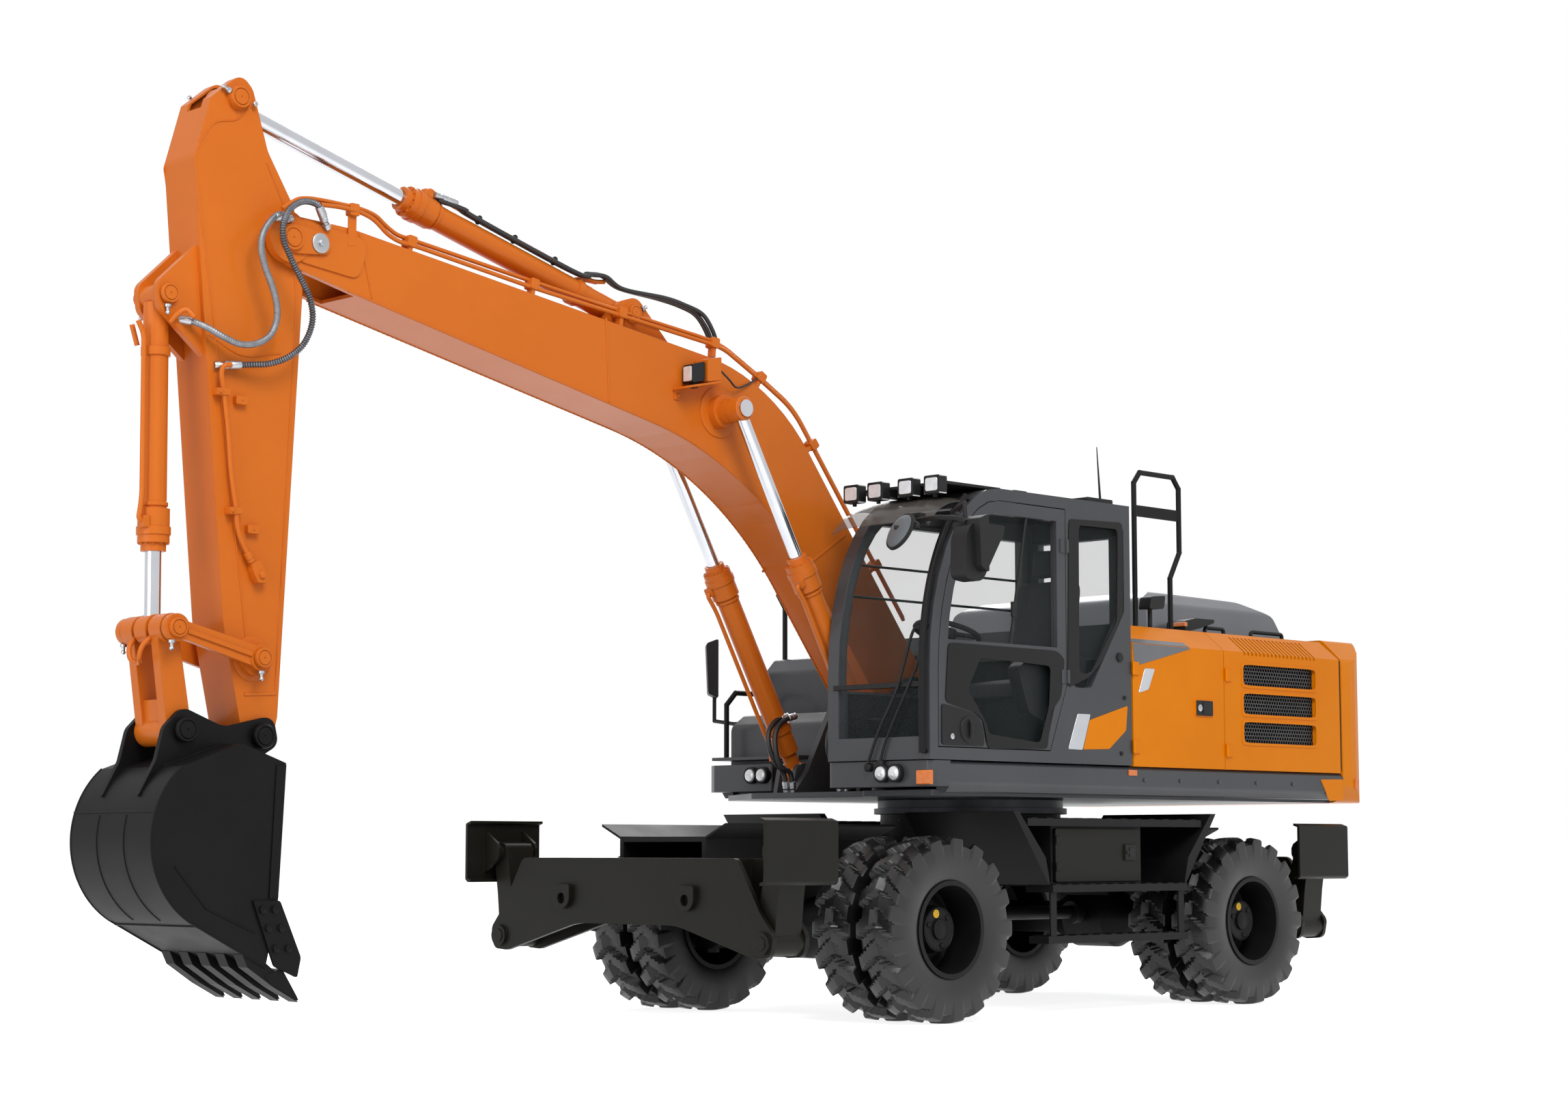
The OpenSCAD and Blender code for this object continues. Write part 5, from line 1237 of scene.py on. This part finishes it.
@dataclass
class BucketDress:
    """Side cutters, folded edges, weld seams, pin ends and tooth caps on the bucket, placed from its pin.

    Attributes:
        pin: the bucket pin, in millimetres.
        half: half the bucket's width.
        wrap: middle of the bent wrapper, from the pin.
        wrap_r: radius of the wrapper.
    """

    pin: Point = (5373.0, 1536.0)
    half: float = 360.0
    wrap: Point = (278.0, -512.0)
    wrap_r: float = 455.0

    def on(self, *points: Point) -> list[Point]:
        """Points given from the pin, in the machine's plane."""
        return [(self.pin[0] + x, self.pin[1] + z) for x, z in points]

    def bend(self, low: float, high: float, y: float, out: float = 0.0) -> np.ndarray:
        """Points along the wrapper between two angles in degrees, at one height over it."""
        t = np.radians(np.linspace(low, high, 30))
        flat = np.array(self.wrap) + (self.wrap_r + out) * np.stack([np.cos(t), np.sin(t)], -1)
        return route([(x, y, z) for x, z in self.on(*flat)])

    def seam(self, path: np.ndarray, radius: float = 0.006) -> Shape:
        """A weld bead along a path."""
        return tube(even(path, 0.012), radius, 6)

    def level(self, y: float, *points: Point) -> np.ndarray:
        """A path at one y through points given from the pin."""
        return route([(x, y, z) for x, z in self.on(*points)])

    def dress(self) -> None:
        """Adds all of the bucket's pieces."""
        face = self.half + 15
        cutter = side_plate(
            self.on((162, -805), (5, -807), (-124, -1085), (-103, -1184), (33, -1125)), self.half - 1, 16, 14
        )
        spots = [(40, -850), (110, -850), (0, -940), (74, -940), (-44, -1040), (30, -1040)]
        cutter += bolts(route([(x, face, z) for x, z in self.on(*spots)]), Y, 20)
        fold = side_plate(self.on((-22, -142), (34, -150), (64, -798), (12, -800)), self.half - 1, 9, 4)
        ends = (
            pin_end(self.pin[0], 202, self.pin[1], 62)
            + pin_end(self.pin[0] + 448, 202, self.pin[1] + 19, 62)
        )
        piece("bucket_cutters", (cutter + fold + ends).both(), "digging_bucket", Slot.bucket_steel)
        edge = (
            self.seam(self.bend(-60, 50, self.half - 2))
            + self.seam(self.level(self.half - 2, (505, -906), (80, -1128)))
        )
        ear = self.seam(self.level(180, (-20, -134), (234, -45), (566, -160)), 0.007)
        line = self.seam(self.bend(-58, 15, 120, 2), 0.004)
        across = self.bend(17, 17, 0, 2)[:1] + np.array([[0, -0.36, 0], [0, 0.36, 0]])
        foot = self.level(0, (470, -926))[:1] + np.array([[0, -0.36, 0], [0, 0.36, 0]])
        skin = np.stack(
            [self.bend(-60, 50, y, out) for y, out in ((-357, -3), (-357, 2), (357, 2), (357, -3))]
        )
        piece(
            "bucket_wrapper", grid(skin.transpose(1, 0, 2), wrap_v=True, caps=True), "digging_bucket",
            Slot.bucket_steel
        )
        gusset = self.seam(self.level(self.half + 1, (600, -640), (420, -840), (140, -960)))
        piece(
            "bucket_welds", (edge + ear + line + gusset).both() + self.seam(across) + self.seam(foot),
            "digging_bucket", Slot.bucket_steel
        )
        caps = []
        for k in range(5):
            y = -317 + 158.5 * k
            caps.append(
                side_plate(
                    self.on(
                        (24, -1150), (-22, -1135), (-112, -1272), (-126, -1298), (-96, -1284), (44, -1208),
                        (80, -1170)
                    ),
                    y - 43, 86, 10
                )
            )
        piece("tooth_caps", joined(caps), "digging_bucket", Slot.bucket_steel)


def cushion(low: Point, high: Point, puff: float, channels: Sequence[float] = (), lean: float = 0.0) -> Shape:
    """Crowned cushion: a rounded box whose faces swell and whose sides pull in between the corners.

    Args:
        low: lowest corner in millimetres.
        high: highest corner.
        puff: how far the broad face swells, in millimetres.
        channels: places of sewn channels across the width, from -1 to 1.
        lean: how far the top moves back over the height, in millimetres.

    Returns:
        A closed surface.
    """
    a, b = np.array(low, float), np.array(high, float)
    u = np.linspace(0, TAU, 96, endpoint=False)[None]
    v = np.linspace(-math.pi / 2, math.pi / 2, 49)[:, None]
    power = lambda t, e: np.sign(t) * np.abs(t) ** e
    x = power(np.cos(v), 0.25) * power(np.cos(u), 0.25)
    y = power(np.cos(v), 0.25) * power(np.sin(u), 0.25)
    z = np.broadcast_to(power(np.sin(v), 0.3), x.shape)
    thin = int(np.argmin(b - a))
    unit_pts = np.stack([x, y, z], -1)
    unit_pts = np.moveaxis(unit_pts, 2, 0)[[2, 1, 0]] if thin == 0 else np.moveaxis(unit_pts, 2, 0)
    pts = np.moveaxis(unit_pts, 0, 2) * (b - a) / 2 + (a + b) / 2
    wide = [k for k in (0, 1, 2) if k != thin]
    rel = (pts - (a + b) / 2) / ((b - a) / 2)
    bulge = (1 - rel[..., wide[0]] ** 2) * (1 - rel[..., wide[1]] ** 2)
    seam = sum((np.exp(-(((rel[..., 1] - c) / 0.035) ** 2)) for c in channels), np.zeros(bulge.shape))
    pts[..., thin] += np.where(rel[..., thin] > 0, puff * bulge - 9.0 * seam * (bulge > 0.05), 0.0)
    for k, other in (wide, wide[::-1]):
        pts[..., k] -= rel[..., k] * 9.0 * (1 - rel[..., other] ** 2)
    pts[..., 0] -= lean * (pts[..., 2] - a[2]) / (b[2] - a[2])
    return grid(framed(pts), wrap_v=True)


@dataclass
class Cab:
    """Window borders, trim, mirrors, wipers, visor and seat of the cab.

    Attributes:
        side: outer face of the cab's left side in millimetres.
        knee: height from which the front leans back.
        brow: middle of the front's arc along X.
        reach: half lengths of the arc along X and Z.
        seat_y: middle of the seat across the machine.
    """

    side: float = 1250.0
    knee: float = 1990.0
    brow: float = 1000.0
    reach: tuple[float, float] = (612.0, 1085.0)
    seat_y: float = 849.0

    def front(self, z: float, off: float = 0.0) -> float:
        """Place of the front's face along X at a height, moved out by off, in millimetres."""
        t = min(max((z - self.knee) / (self.reach[1] + off), 0.0), 1.0)
        return self.brow + (self.reach[0] + off) * math.sqrt(1 - t * t)

    def on_front(self, points: Iterable[Point], off: float) -> list[Point]:
        """Points given in Y and Z laid on the front's face, moved out by off."""
        return [(self.front(z, off), y, z) for y, z in points]

    def door(self) -> None:
        """Printed borders, handle, latch and sliding window's bar of the door."""
        outer = [
            (1456, 2151), (493, 2150), (417, 2105), (455, 1876), (555, 1782), (586, 1566), (1119, 1553),
            (1158, 1709), (1224, 1760), (1485, 1811)
        ]
        inner = [
            (1180, 2077), (551, 2057), (568, 1818), (655, 1600), (1110, 1640), (1144, 1718), (1290, 1890)
        ]
        piece(
            "door_window_border", border(outer, inner, self.side + 1, 4), "door", Slot.glazing, BLACKED_GLASS
        )
        plate = [(1516, 1801), (1373, 1780), (1215, 1751), (1163, 1674), (1151, 1569), (1518, 1568)]
        handle = side_plate(plate, self.side - 1, 9, 24)
        ring = lathe([[52, -2], [76, -2], [78, 4], [72, 9], [56, 8]], at(1287, self.side + 8, 1661), Y, 48)
        grip = pipe(
            [
                (1287, self.side + 10, 1716), (1287, self.side + 26, 1700), (1287, self.side + 26, 1622),
                (1287, self.side + 10, 1606)
            ],
            11, 20
        )
        piece("door_handle", handle + ring + grip, "door", Slot.trim)
        lock = lathe([[0, 0], [17, 0], [17, 5], [12, 8], [0, 8]], at(1434, self.side + 8, 1617), Y, 24)
        piece("door_lock", lock, "door", Slot.trim, STEEL)
        bar = tube(route([(735, 1239, 2985), (905, 1239, 2150)]), 0.009, 10)
        rail = tube(route([(420, 1239, 2152), (1440, 1239, 2152)]), 0.010, 10)
        catch = block((850, 1236, 2330), (890, 1252, 2420), 8)
        piece("door_window_bar", bar + rail + catch, "door", Slot.trim)

    def side_trim(self) -> None:
        """Rear window's border, the bright bar, the orange field, lock and bolts."""
        outer = [(366, 2949), (-148, 2967), (-142, 2401), (76, 2093), (194, 2005), (391, 1933)]
        inner = [(274, 2920), (-102, 2922), (-82, 2361), (180, 2024), (281, 2029)]
        piece(
            "rear_window_border", border(outer, inner, self.side + 0.5, 4), "upper", Slot.glazing,
            BLACKED_GLASS
        )
        bar = [(391, 1571), (300, 1784), (178, 1784), (257, 1569)]
        piece("cab_bar", side_plate(bar, self.side - 0.5, 4, 10), "upper", Slot.grey_paint, SILVER_FILM)
        field_of = [(187, 1749), (-182, 1848), (-164, 1696), (1, 1580), (250, 1571)]
        piece("cab_field", side_plate(field_of, self.side - 0.5, 3, 12), "upper", Slot.hood_paint, HOOD_PAINT)
        lock = lathe([[0, -2], [28, -2], [28, 10], [20, 16], [0, 16]], at(-108, self.side, 2139), Y, 28)
        heads = bolts(route([(-154, self.side - 1, 1895), (-117, self.side - 1, 1556)]), Y, 14)
        piece("cab_side_bolts", lock + heads, "upper", Slot.trim)

    def screen(self) -> None:
        """Wipers, screen bar, hand tube, guard bars and the smoked visor."""
        long_arm = [(778, 1447), (875, 1653), (1019, 1892), (1127, 2200), (1185, 2231)]
        blade = [(874, 1462), (934, 1617), (1113, 1923), (1184, 2076), (1225, 2522)]
        arms = (
            tube(flowing(route(self.on_front(long_arm, 22)), 6), 0.009, 10)
            + tube(flowing(route(self.on_front(blade, 16)), 8), 0.008, 10)
        )
        hubs = joined(
            lathe([[0, -8], [26, -8], [26, 18], [16, 26], [0, 26]], at(self.front(z), y, z), X, 24)
            for y, z in ((778, 1447), (874, 1462))
        )
        piece("wipers", arms + hubs, "upper", Slot.trim)
        bar = block((1596, 500, 1896), (1622, 1196, 1926), 6)
        piece("screen_bar", bar, "upper", Slot.trim)
        heights = np.linspace(1520, 3010, 40)
        hand = [(self.front(z, 30), 1218, z) for z in heights]
        feet = [[(self.front(z, -6), 1218, z), (self.front(z, 30), 1218, z)] for z in (1530, 2240, 2990)]
        piece(
            "pillar_rail", joined([tube(route(hand), 0.021)] + [tube(route(f), 0.014, 10) for f in feet]),
            "upper", Slot.grey_paint, FRAME_PAINT
        )
        guards = joined(
            tube(route([(-90, 459, z), (end, 459, z)]), 0.008, 10)
            for z, end in ((2656, 1385), (2466, 1456))
        )
        piece("window_guards", guards, "upper", Slot.trim)
        line = flowing(
            np.array([[1215, 3006], [1330, 3010], [1440, 2984], [1530, 2930], [1600, 2850]], float), 6
        )
        t = np.gradient(line, axis=0)
        low = line + unit(np.stack([t[:, 1], -t[:, 0]], -1)) * 6
        loop = np.vstack([line, low[::-1]])
        across = np.linspace(470, 1232, 14)
        drop = 34 * np.abs((across - 851) / 381) ** 6
        pts = np.stack(
            [np.stack([loop[:, 0], np.full(len(loop), y), loop[:, 1] - d], -1) for y, d in zip(across, drop)]
        )
        piece("visor", grid(framed(pts), wrap_v=True, caps=True), "upper", Slot.glazing, SMOKED)

    def roof(self) -> None:
        """Bezels of the work lamps, antenna and small fittings."""
        lamps = []
        lenses = []
        for y in (495, 688, 931, 1136):
            lamps.append(front_plate(rectangle(y - 62, 3014, y + 62, 3122), 1396, 66, 16))
            lamps.append(block((1420, y - 9, 2996), (1440, y + 9, 3020), 3))
            lenses.append(front_plate(rectangle(y - 46, 3030, y + 46, 3106), 1460, 7, 14))
        piece("work_lamp_shells", joined(lamps), "upper", Slot.trim)
        piece("work_lamp_lenses", joined(lenses), "upper", Slot.lens)
        mast = tube(
            route([(-252, 1000, 3070), (-252, 1000, 3150), (-225, 1000, 3468)]),
            np.array([0.014, 0.008, 0.003]), 10
        )
        bits = (
            block((-303, 940, 3076), (-49, 1060, 3137), 10)
            + block((460, 900, 3074), (588, 1010, 3127), 12)
        )
        bits += block((918, 456, 3073), (1403, 1192, 3091), 3)
        piece("roof_fittings", mast + bits, "upper", Slot.trim)

    def mirrors(self) -> None:
        """Mirrors with shells and stems, and the round close-view mirror on its bracket."""
        left = [
            (1655, 2794), (1368, 2797), (1382, 2744), (1502, 2562), (1568, 2463), (1717, 2478), (1707, 2718)
        ]
        shell = side_plate(left, 1500, 110, 50)
        stem = pipe([(1600, 1130, 2846), (1640, 1329, 2846), (1640, 1500, 2826), (1640, 1560, 2800)], 16, 60)
        spot, facing = at(1760, 1126, 2790), np.array([-0.86, 0.25, -0.45])
        dish = lathe([[0, 0], [60, 4], [96, 18], [112, 40], [110, 48], [0, 44]], spot, facing, 48)
        arm = pipe(
            [
                (1604, 1131, 2860), (1660, 1180, 2830), (1700, 1259, 2800), (1720, 1200, 2786),
                (1770, 1128, 2796)
            ],
            12, 40
        )
        foot = front_plate(rectangle(1090, 2810, 1180, 2890), 1372, 232, 12)
        heads = bolts(route([(1604, 1105, 2826), (1604, 1165, 2826), (1604, 1135, 2874)]), X, 12)
        rim = lathe([[106, 30], [116, 30], [118, 46], [110, 52], [104, 46]], spot, facing, 48)
        piece("left_mirrors", joined([shell, stem, rim, arm, foot, heads]), "upper", Slot.trim)
        piece("close_view_mirror", dish, "upper", Slot.trim, GREY_PLASTIC)

    def lamps(self) -> None:
        """Headlamp rims and lenses with their brackets, and amber markers."""
        rims = []
        lenses = []
        for x, ys, z in ((1600, (885, 989), 1410), (1000, (-800, -700), 1440)):
            for y in ys:
                rims.append(
                    lathe([[43, -30], [52, -30], [54, 14], [48, 20], [43, 14]], at(x + 20, y, z), X, 40)
                )
                lenses.append(lathe([[0, 0], [43, 0], [36, 12], [20, 19], [0, 22]], at(x + 30, y, z), X, 32))
        rims.append(front_plate(rectangle(826, 1352, 1048, 1468), 1572, 14, 20))
        rims.append(front_plate(rectangle(-860, 1384, -640, 1496), 972, 14, 20))
        piece("headlamp_rims", joined(rims), "upper", Slot.trim)
        piece("headlamp_lenses", joined(lenses), "upper", Slot.lens)
        amber = (
            block((1596, 1150, 1342), (1622, 1258, 1424), 10)
            + block((-262, 1244, 1424), (-182, 1257, 1459), 6)
        )
        piece("amber_markers", amber, "upper", Slot.lens, AMBER)

    def lining(self) -> None:
        """Dark lining on the roof, on the rear wall below and above its window and on the right wall below its
        window; its dark colour is painted shade for the inside of the cab.
        """
        wall = (
            block((-166, 520, 1560), (-158, 1180, 2140), 3)
            + block((-166, 520, 2890), (-158, 1180, 3006), 3)
        )
        right = side_plate([(1500, 1560), (1500, 1885), (-150, 1885), (-150, 1560)], 504, 6)
        roof = block((-150, 520, 3006), (980, 1180, 3014), 3)
        # painted shade: these dark sheets darken the cab's inside, which is seen through the glass
        piece("cab_painted_shade_lining", wall + right + roof, "upper", Slot.trim)

    def seat(self) -> None:
        """Crowned seat pad and backrest with sewn channels, a headrest and a belt buckle."""
        y = self.seat_y
        pad = cushion((100, y - 238, 1872), (622, y + 238, 1975), 26, (-0.45, 0.45))
        back = cushion((96, y - 225, 1972), (222, y + 225, 2620), 24, (-0.5, 0.5), 92)
        rest = cushion((-18, y - 140, 2640), (84, y + 140, 2820), 14, (), 14)
        obj = piece("seat_cushions", joined([pad, back, rest]), "upper", Slot.seat_fabric)
        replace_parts(obj, "seat_cushion")
        belt = pipe([(140, y - 250, 1900), (120, y - 262, 1990), (110, y - 262, 2060)], 12, 30)
        piece("belt_buckle", belt, "upper", Slot.trim)

    def dress(self) -> None:
        """Adds all of the cab's trim."""
        self.door()
        self.side_trim()
        self.screen()
        self.roof()
        self.mirrors()
        self.lamps()
        self.lining()
        self.seat()


@dataclass
class UpperDress:
    """Trim of the hood, sills, counterweight and the hoses at the boom's foot.

    Attributes:
        side: outer face of the hood in millimetres.
        mesh_y: place of the honeycomb behind the grille.
        pitch: distance between the honeycomb's cells.
        grille_z: foot of each grille opening.
    """

    side: float = 1250.0
    mesh_y: float = 1216.0
    pitch: float = 27.0
    grille_z: tuple[int, ...] = (1652, 1835, 2019)

    def honeycomb(self) -> Shape:
        """Honeycomb behind the three grille openings: one ring copied over a staggered lattice."""
        a = np.linspace(0, TAU, 6, endpoint=False) + math.pi / 6
        outer, inner = (np.stack([np.cos(a), np.sin(a)], -1) * r * self.pitch / 1000 for r in (0.60, 0.46))
        loops = [(outer, 0.0), (outer, 0.004), (inner, 0.004), (inner, 0.0)]
        cell = grid(
            np.stack([np.column_stack([p[:, 0], np.full(6, d), p[:, 1]]) for p, d in loops]), wrap_u=True,
            wrap_v=True
        )
        rows = np.arange(6)
        spots = []
        for z in self.grille_z:
            i, j = np.meshgrid(np.arange(31), rows, indexing="ij")
            x = -2180 + self.pitch * (i + 0.5 * (j % 2))
            spots.append(
                np.stack(
                    [x, np.full(x.shape, self.mesh_y), z + 8 + self.pitch * 0.87 * (j + 0.35)], -1
                ).reshape(-1, 3)
            )
        return cell.copies(framed(np.vstack(spots)), X, Y, Z)

    def hood(self) -> None:
        """Bright bar, grey corner panel, latch, honeycomb and vents on the hood's side."""
        bar = [(-290, 1930), (-356, 2085), (-456, 2085), (-390, 1955)]
        piece(
            "hood_bar", side_plate(bar, self.side - 0.5, 4, 12), "service_front", Slot.hood_paint, SILVER_FILM
        )
        corner = [(-240, 2233), (-816, 2233), (-812, 2223), (-272, 2097), (-250, 2120)]
        slope = np.array([[-240, 2236], [-812, 2236], [-740, 2352], [-240, 2352]], float)
        inward, rise, foot = 170.0, 126.0, 2234.0
        lean = np.array([[0.0, -inward, rise]])
        t = ((slope[:, 1] - foot) / rise)[:, None]
        base = np.column_stack([slope[:, 0], np.full(4, self.side), np.full(4, foot)]) + t * lean
        normal = np.array([0.0, rise, inward]) / math.hypot(rise, inward)
        top = grid(framed(np.stack([base - normal, base + 3 * normal])), wrap_v=True, caps=True)
        piece(
            "hood_corner", side_plate(corner, self.side - 0.5, 3.4, 6) + top, "service_front",
            Slot.grey_paint, DOME_PAINT
        )
        strips = []
        for k in range(19):
            x = -2180 + 43 * k
            edge = np.array([[x + 1, 0.03], [x + 19, 0.03], [x + 19, 0.79], [x + 1, 0.79]])
            flat = np.column_stack([edge[:, 0], np.full(4, self.side), np.full(4, foot)]) + edge[:, 1:] * lean
            both = np.stack([flat - 12 * normal, flat - 7 * normal])
            strips.append(grid(framed(both), wrap_v=True, caps=True))
        piece("hood_vent_strips", joined(strips), "service_rear", Slot.trim)
        latch = side_plate(rectangle(-1036, 1812, -864, 1907), self.side + 7, 5, 10)
        flap = side_plate(rectangle(-1022, 1824, -930, 1895), self.side + 11, 6, 8)
        piece("hood_latch", latch + flap, "service_front", Slot.trim)
        button = lathe([[0, 0], [22, 0], [22, 6], [16, 9], [0, 9]], at(-896, self.side + 11, 1860), Y, 28)
        piece("latch_button", button, "service_front", Slot.trim, STEEL)
        piece("grille_mesh", self.honeycomb(), "service_rear", Slot.trim, CAST_BLOCK)
        frames = []
        for z in self.grille_z:
            hole = rectangle(-2176, z + 4, -1374, z + 136)
            rim = rectangle(-2196, z - 14, -1354, z + 154)
            frames.append(border(rim, hole, self.side - 1, 5))
        piece("grille_frames", joined(frames), "service_rear", Slot.hood_paint)

    def roof(self) -> None:
        """Rear lamp, pod with its marker, hand bars and exhaust stack on the hood's roof."""
        lamp = side_plate([(-591, 2550), (-734, 2564), (-720, 2480), (-572, 2472)], 1040, 90, 16)
        post = pipe([(-650, 1070, 2340), (-650, 1070, 2480)], 15, 20)
        piece("rear_work_lamp", lamp + post, "upper", Slot.trim)
        piece("rear_lamp_lens", block((-738, 1052, 2484), (-726, 1118, 2552), 8), "upper", Slot.lens)
        pod = [(-1043, 2428), (-1153, 2451), (-1354, 2452), (-1348, 2429), (-1189, 2386), (-1041, 2358)]
        piece("roof_pod", side_plate(pod, 900, 150, 14), "upper", Slot.trim)
        piece("pod_marker", block((-1062, 950, 2392), (-1030, 1052, 2420), 6), "upper", Slot.lens, AMBER)
        bars = []
        for x0, x1 in ((-1500, -1300), (-2150, -1800)):
            bars.append(
                pipe([(x0, 1010, 2350), (x0, 1010, 2400), (x1, 1010, 2400), (x1, 1010, 2350)], 13, 30)
            )
        piece("roof_hand_bars", joined(bars).both(), "upper", Slot.trim)
        stack = lathe(
            [[0, 0], [62, 0], [62, 150], [70, 152], [70, 230], [56, 234], [56, 60], [0, 58]],
            at(-2180, -560, 2480), Z, 40
        )
        piece("exhaust_stack", stack, "service_lid", Slot.grey_paint, DARK_STEEL)

    def tail(self) -> None:
        """Reflectors, an orange sill corner, a groove strip and bolts on the counterweight and sills."""
        mark = block((-2660, 1196, 1384), (-2616, 1256, 1448), 5)
        piece("tail_markers", mark.both(), "upper", Slot.lens, AMBER)
        corner = [(-2214, 1436), (-2476, 1441), (-2476, 1300), (-2306, 1296), (-2258, 1377)]
        piece("sill_corner", side_plate(corner, self.side - 1, 5, 14), "upper", Slot.hood_paint, HOOD_PAINT)
        strip = block((-2478, 1160, 1500), (-2457, 1243, 2230), 4)
        piece("groove_strip", strip, "upper", Slot.trim)
        spots = route([(x, 1249, 1400) for x in (-1900, -1500, -1100, -700, -340)])
        piece("sill_bolts", bolts(spots, Y, 13), "upper", Slot.grey_paint)

    def foot_hoses(self) -> None:
        """Hoses from the deck to the lift cylinders' ports, with crimped ends on the cylinders and the deck."""
        for k, (y, dx, drop) in enumerate(((-302, 0, 0), (-262, -24, -70), (262, 0, 0), (302, -24, -70))):
            points = [
                (1215 + dx, y, 1785), (1300 + dx, y * 0.97, 1760), (1378 + dx, y * 0.93, 1690),
                (1392 + dx, y * 0.88, 1600 + drop * 0.4), (1352 + dx, y * 0.84, 1510 + drop * 0.5),
                (1290 + dx, y * 0.8, 1440), (1265 + dx, y * 0.8, 1340)
            ]
            path = even(flowing(route(points), 10), 0.012)
            obj = piece(f"foot_hose_{k}", tube(path, 0.016, 12), "", Slot.trim, HOSE_RUBBER)
            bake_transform(obj)
            piece(
                f"foot_hose_end_{k}", sleeve(path[0] - (path[4] - path[0]) * 0.5, path[4], 18), "lift_tubes",
                Slot.trim, STEEL
            )
            piece(
                f"foot_hose_base_{k}", sleeve(path[-1] + (path[-1] - path[-5]) * 0.3, path[-5], 18), "upper",
                Slot.trim, STEEL
            )

    def dress(self) -> None:
        """Adds all of the upper structure's trim."""
        self.hood()
        self.roof()
        self.tail()
        self.foot_hoses()


@dataclass
class Undercarriage:
    """Bolts and toolbox latches of the chassis.

    Attributes:
        ring_r: radius of the bolt circle on the swing bearing.
        axle_x: place of the axles.
        axle_z: height of the axles.
    """

    ring_r: float = 560.0
    axle_x: float = AXLE_X
    axle_z: float = 527.5

    def dress(self) -> None:
        """Adds the fittings."""
        a = np.linspace(0, TAU, 36, endpoint=False)
        spots = np.column_stack(
            [-150 - MIDDLE + self.ring_r * np.cos(a), self.ring_r * np.sin(a), np.full(36, 1168.0)]
        ) / 1000
        piece("bearing_bolts", bolts(spots, -Z, 16), "chassis", Slot.bearing_steel, DARK_STEEL)
        parts = []
        for x in (-self.axle_x, self.axle_x):
            b = np.linspace(0, TAU, 12, endpoint=False)
            for side in (-1, 1):
                ring = (
                    np.column_stack([np.cos(b), np.zeros(12), np.sin(b)]) * 0.118
                    + at(x, side * 240, self.axle_z)
                )
                parts.append(bolts(ring, Y * side, 12))
        piece("axle_bolts", joined(parts), "chassis", Slot.frame_black)
        for name, side in (("left", 1.0), ("right", -1.0)):
            latch = side_plate(rectangle(-334, 916, -236, 1004), 1175, 5, 8)
            paddle = side_plate(rectangle(-322, 930, -270, 990), 1179, 6, 6)
            key = lathe([[0, 0], [12, 0], [12, 8], [0, 8]], at(-252, 1179, 960), Y, 20)
            shape = latch + paddle + key
            piece(
                f"toolbox_latch_{name}", shape if side > 0 else shape.mirrored(), f"toolbox_lid_{name}",
                Slot.stand_paint, PLASTIC
            )


def dress_nodes(record: dict) -> None:
    """Gives each CAD node its slot's finish.

    Args:
        record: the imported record, whose subparts name a slot for each node.
    """
    for row in record["subparts"]:
        obj = bpy.data.objects.get(row["node"])
        if obj is None:
            LOG.warning("no object for %s", row["node"])
            continue
        finish = DOME_PAINT if row["node"] == "engine_hood" else Slot[row["material_slot"]].value
        obj.data.materials.clear()
        obj.data.materials.append(finish.material())


def main() -> None:
    """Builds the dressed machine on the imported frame."""
    logging.basicConfig(level=logging.INFO, format="%(name)s: %(message)s")
    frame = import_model()
    studio = Studio()
    studio.camera()
    ArmHoses().dress()
    crowd_hoses()
    UpperDress().dress()
    studio.light()
    studio.floor()
    dress_nodes(frame["record"])
    for corner, axle_x, side in (
        ("front_left", AXLE_X, 1), ("front_right", AXLE_X, -1),
        ("rear_left", -AXLE_X, 1), ("rear_right", -AXLE_X, -1),
    ):
        TwinWheel(corner, axle_x, side).dress()
    BoomDress().dress()
    dress_cylinders()
    ArmDress().dress()
    BucketDress().dress()
    Cab().dress()
    Undercarriage().dress()


if __name__ == "__main__":
    main()
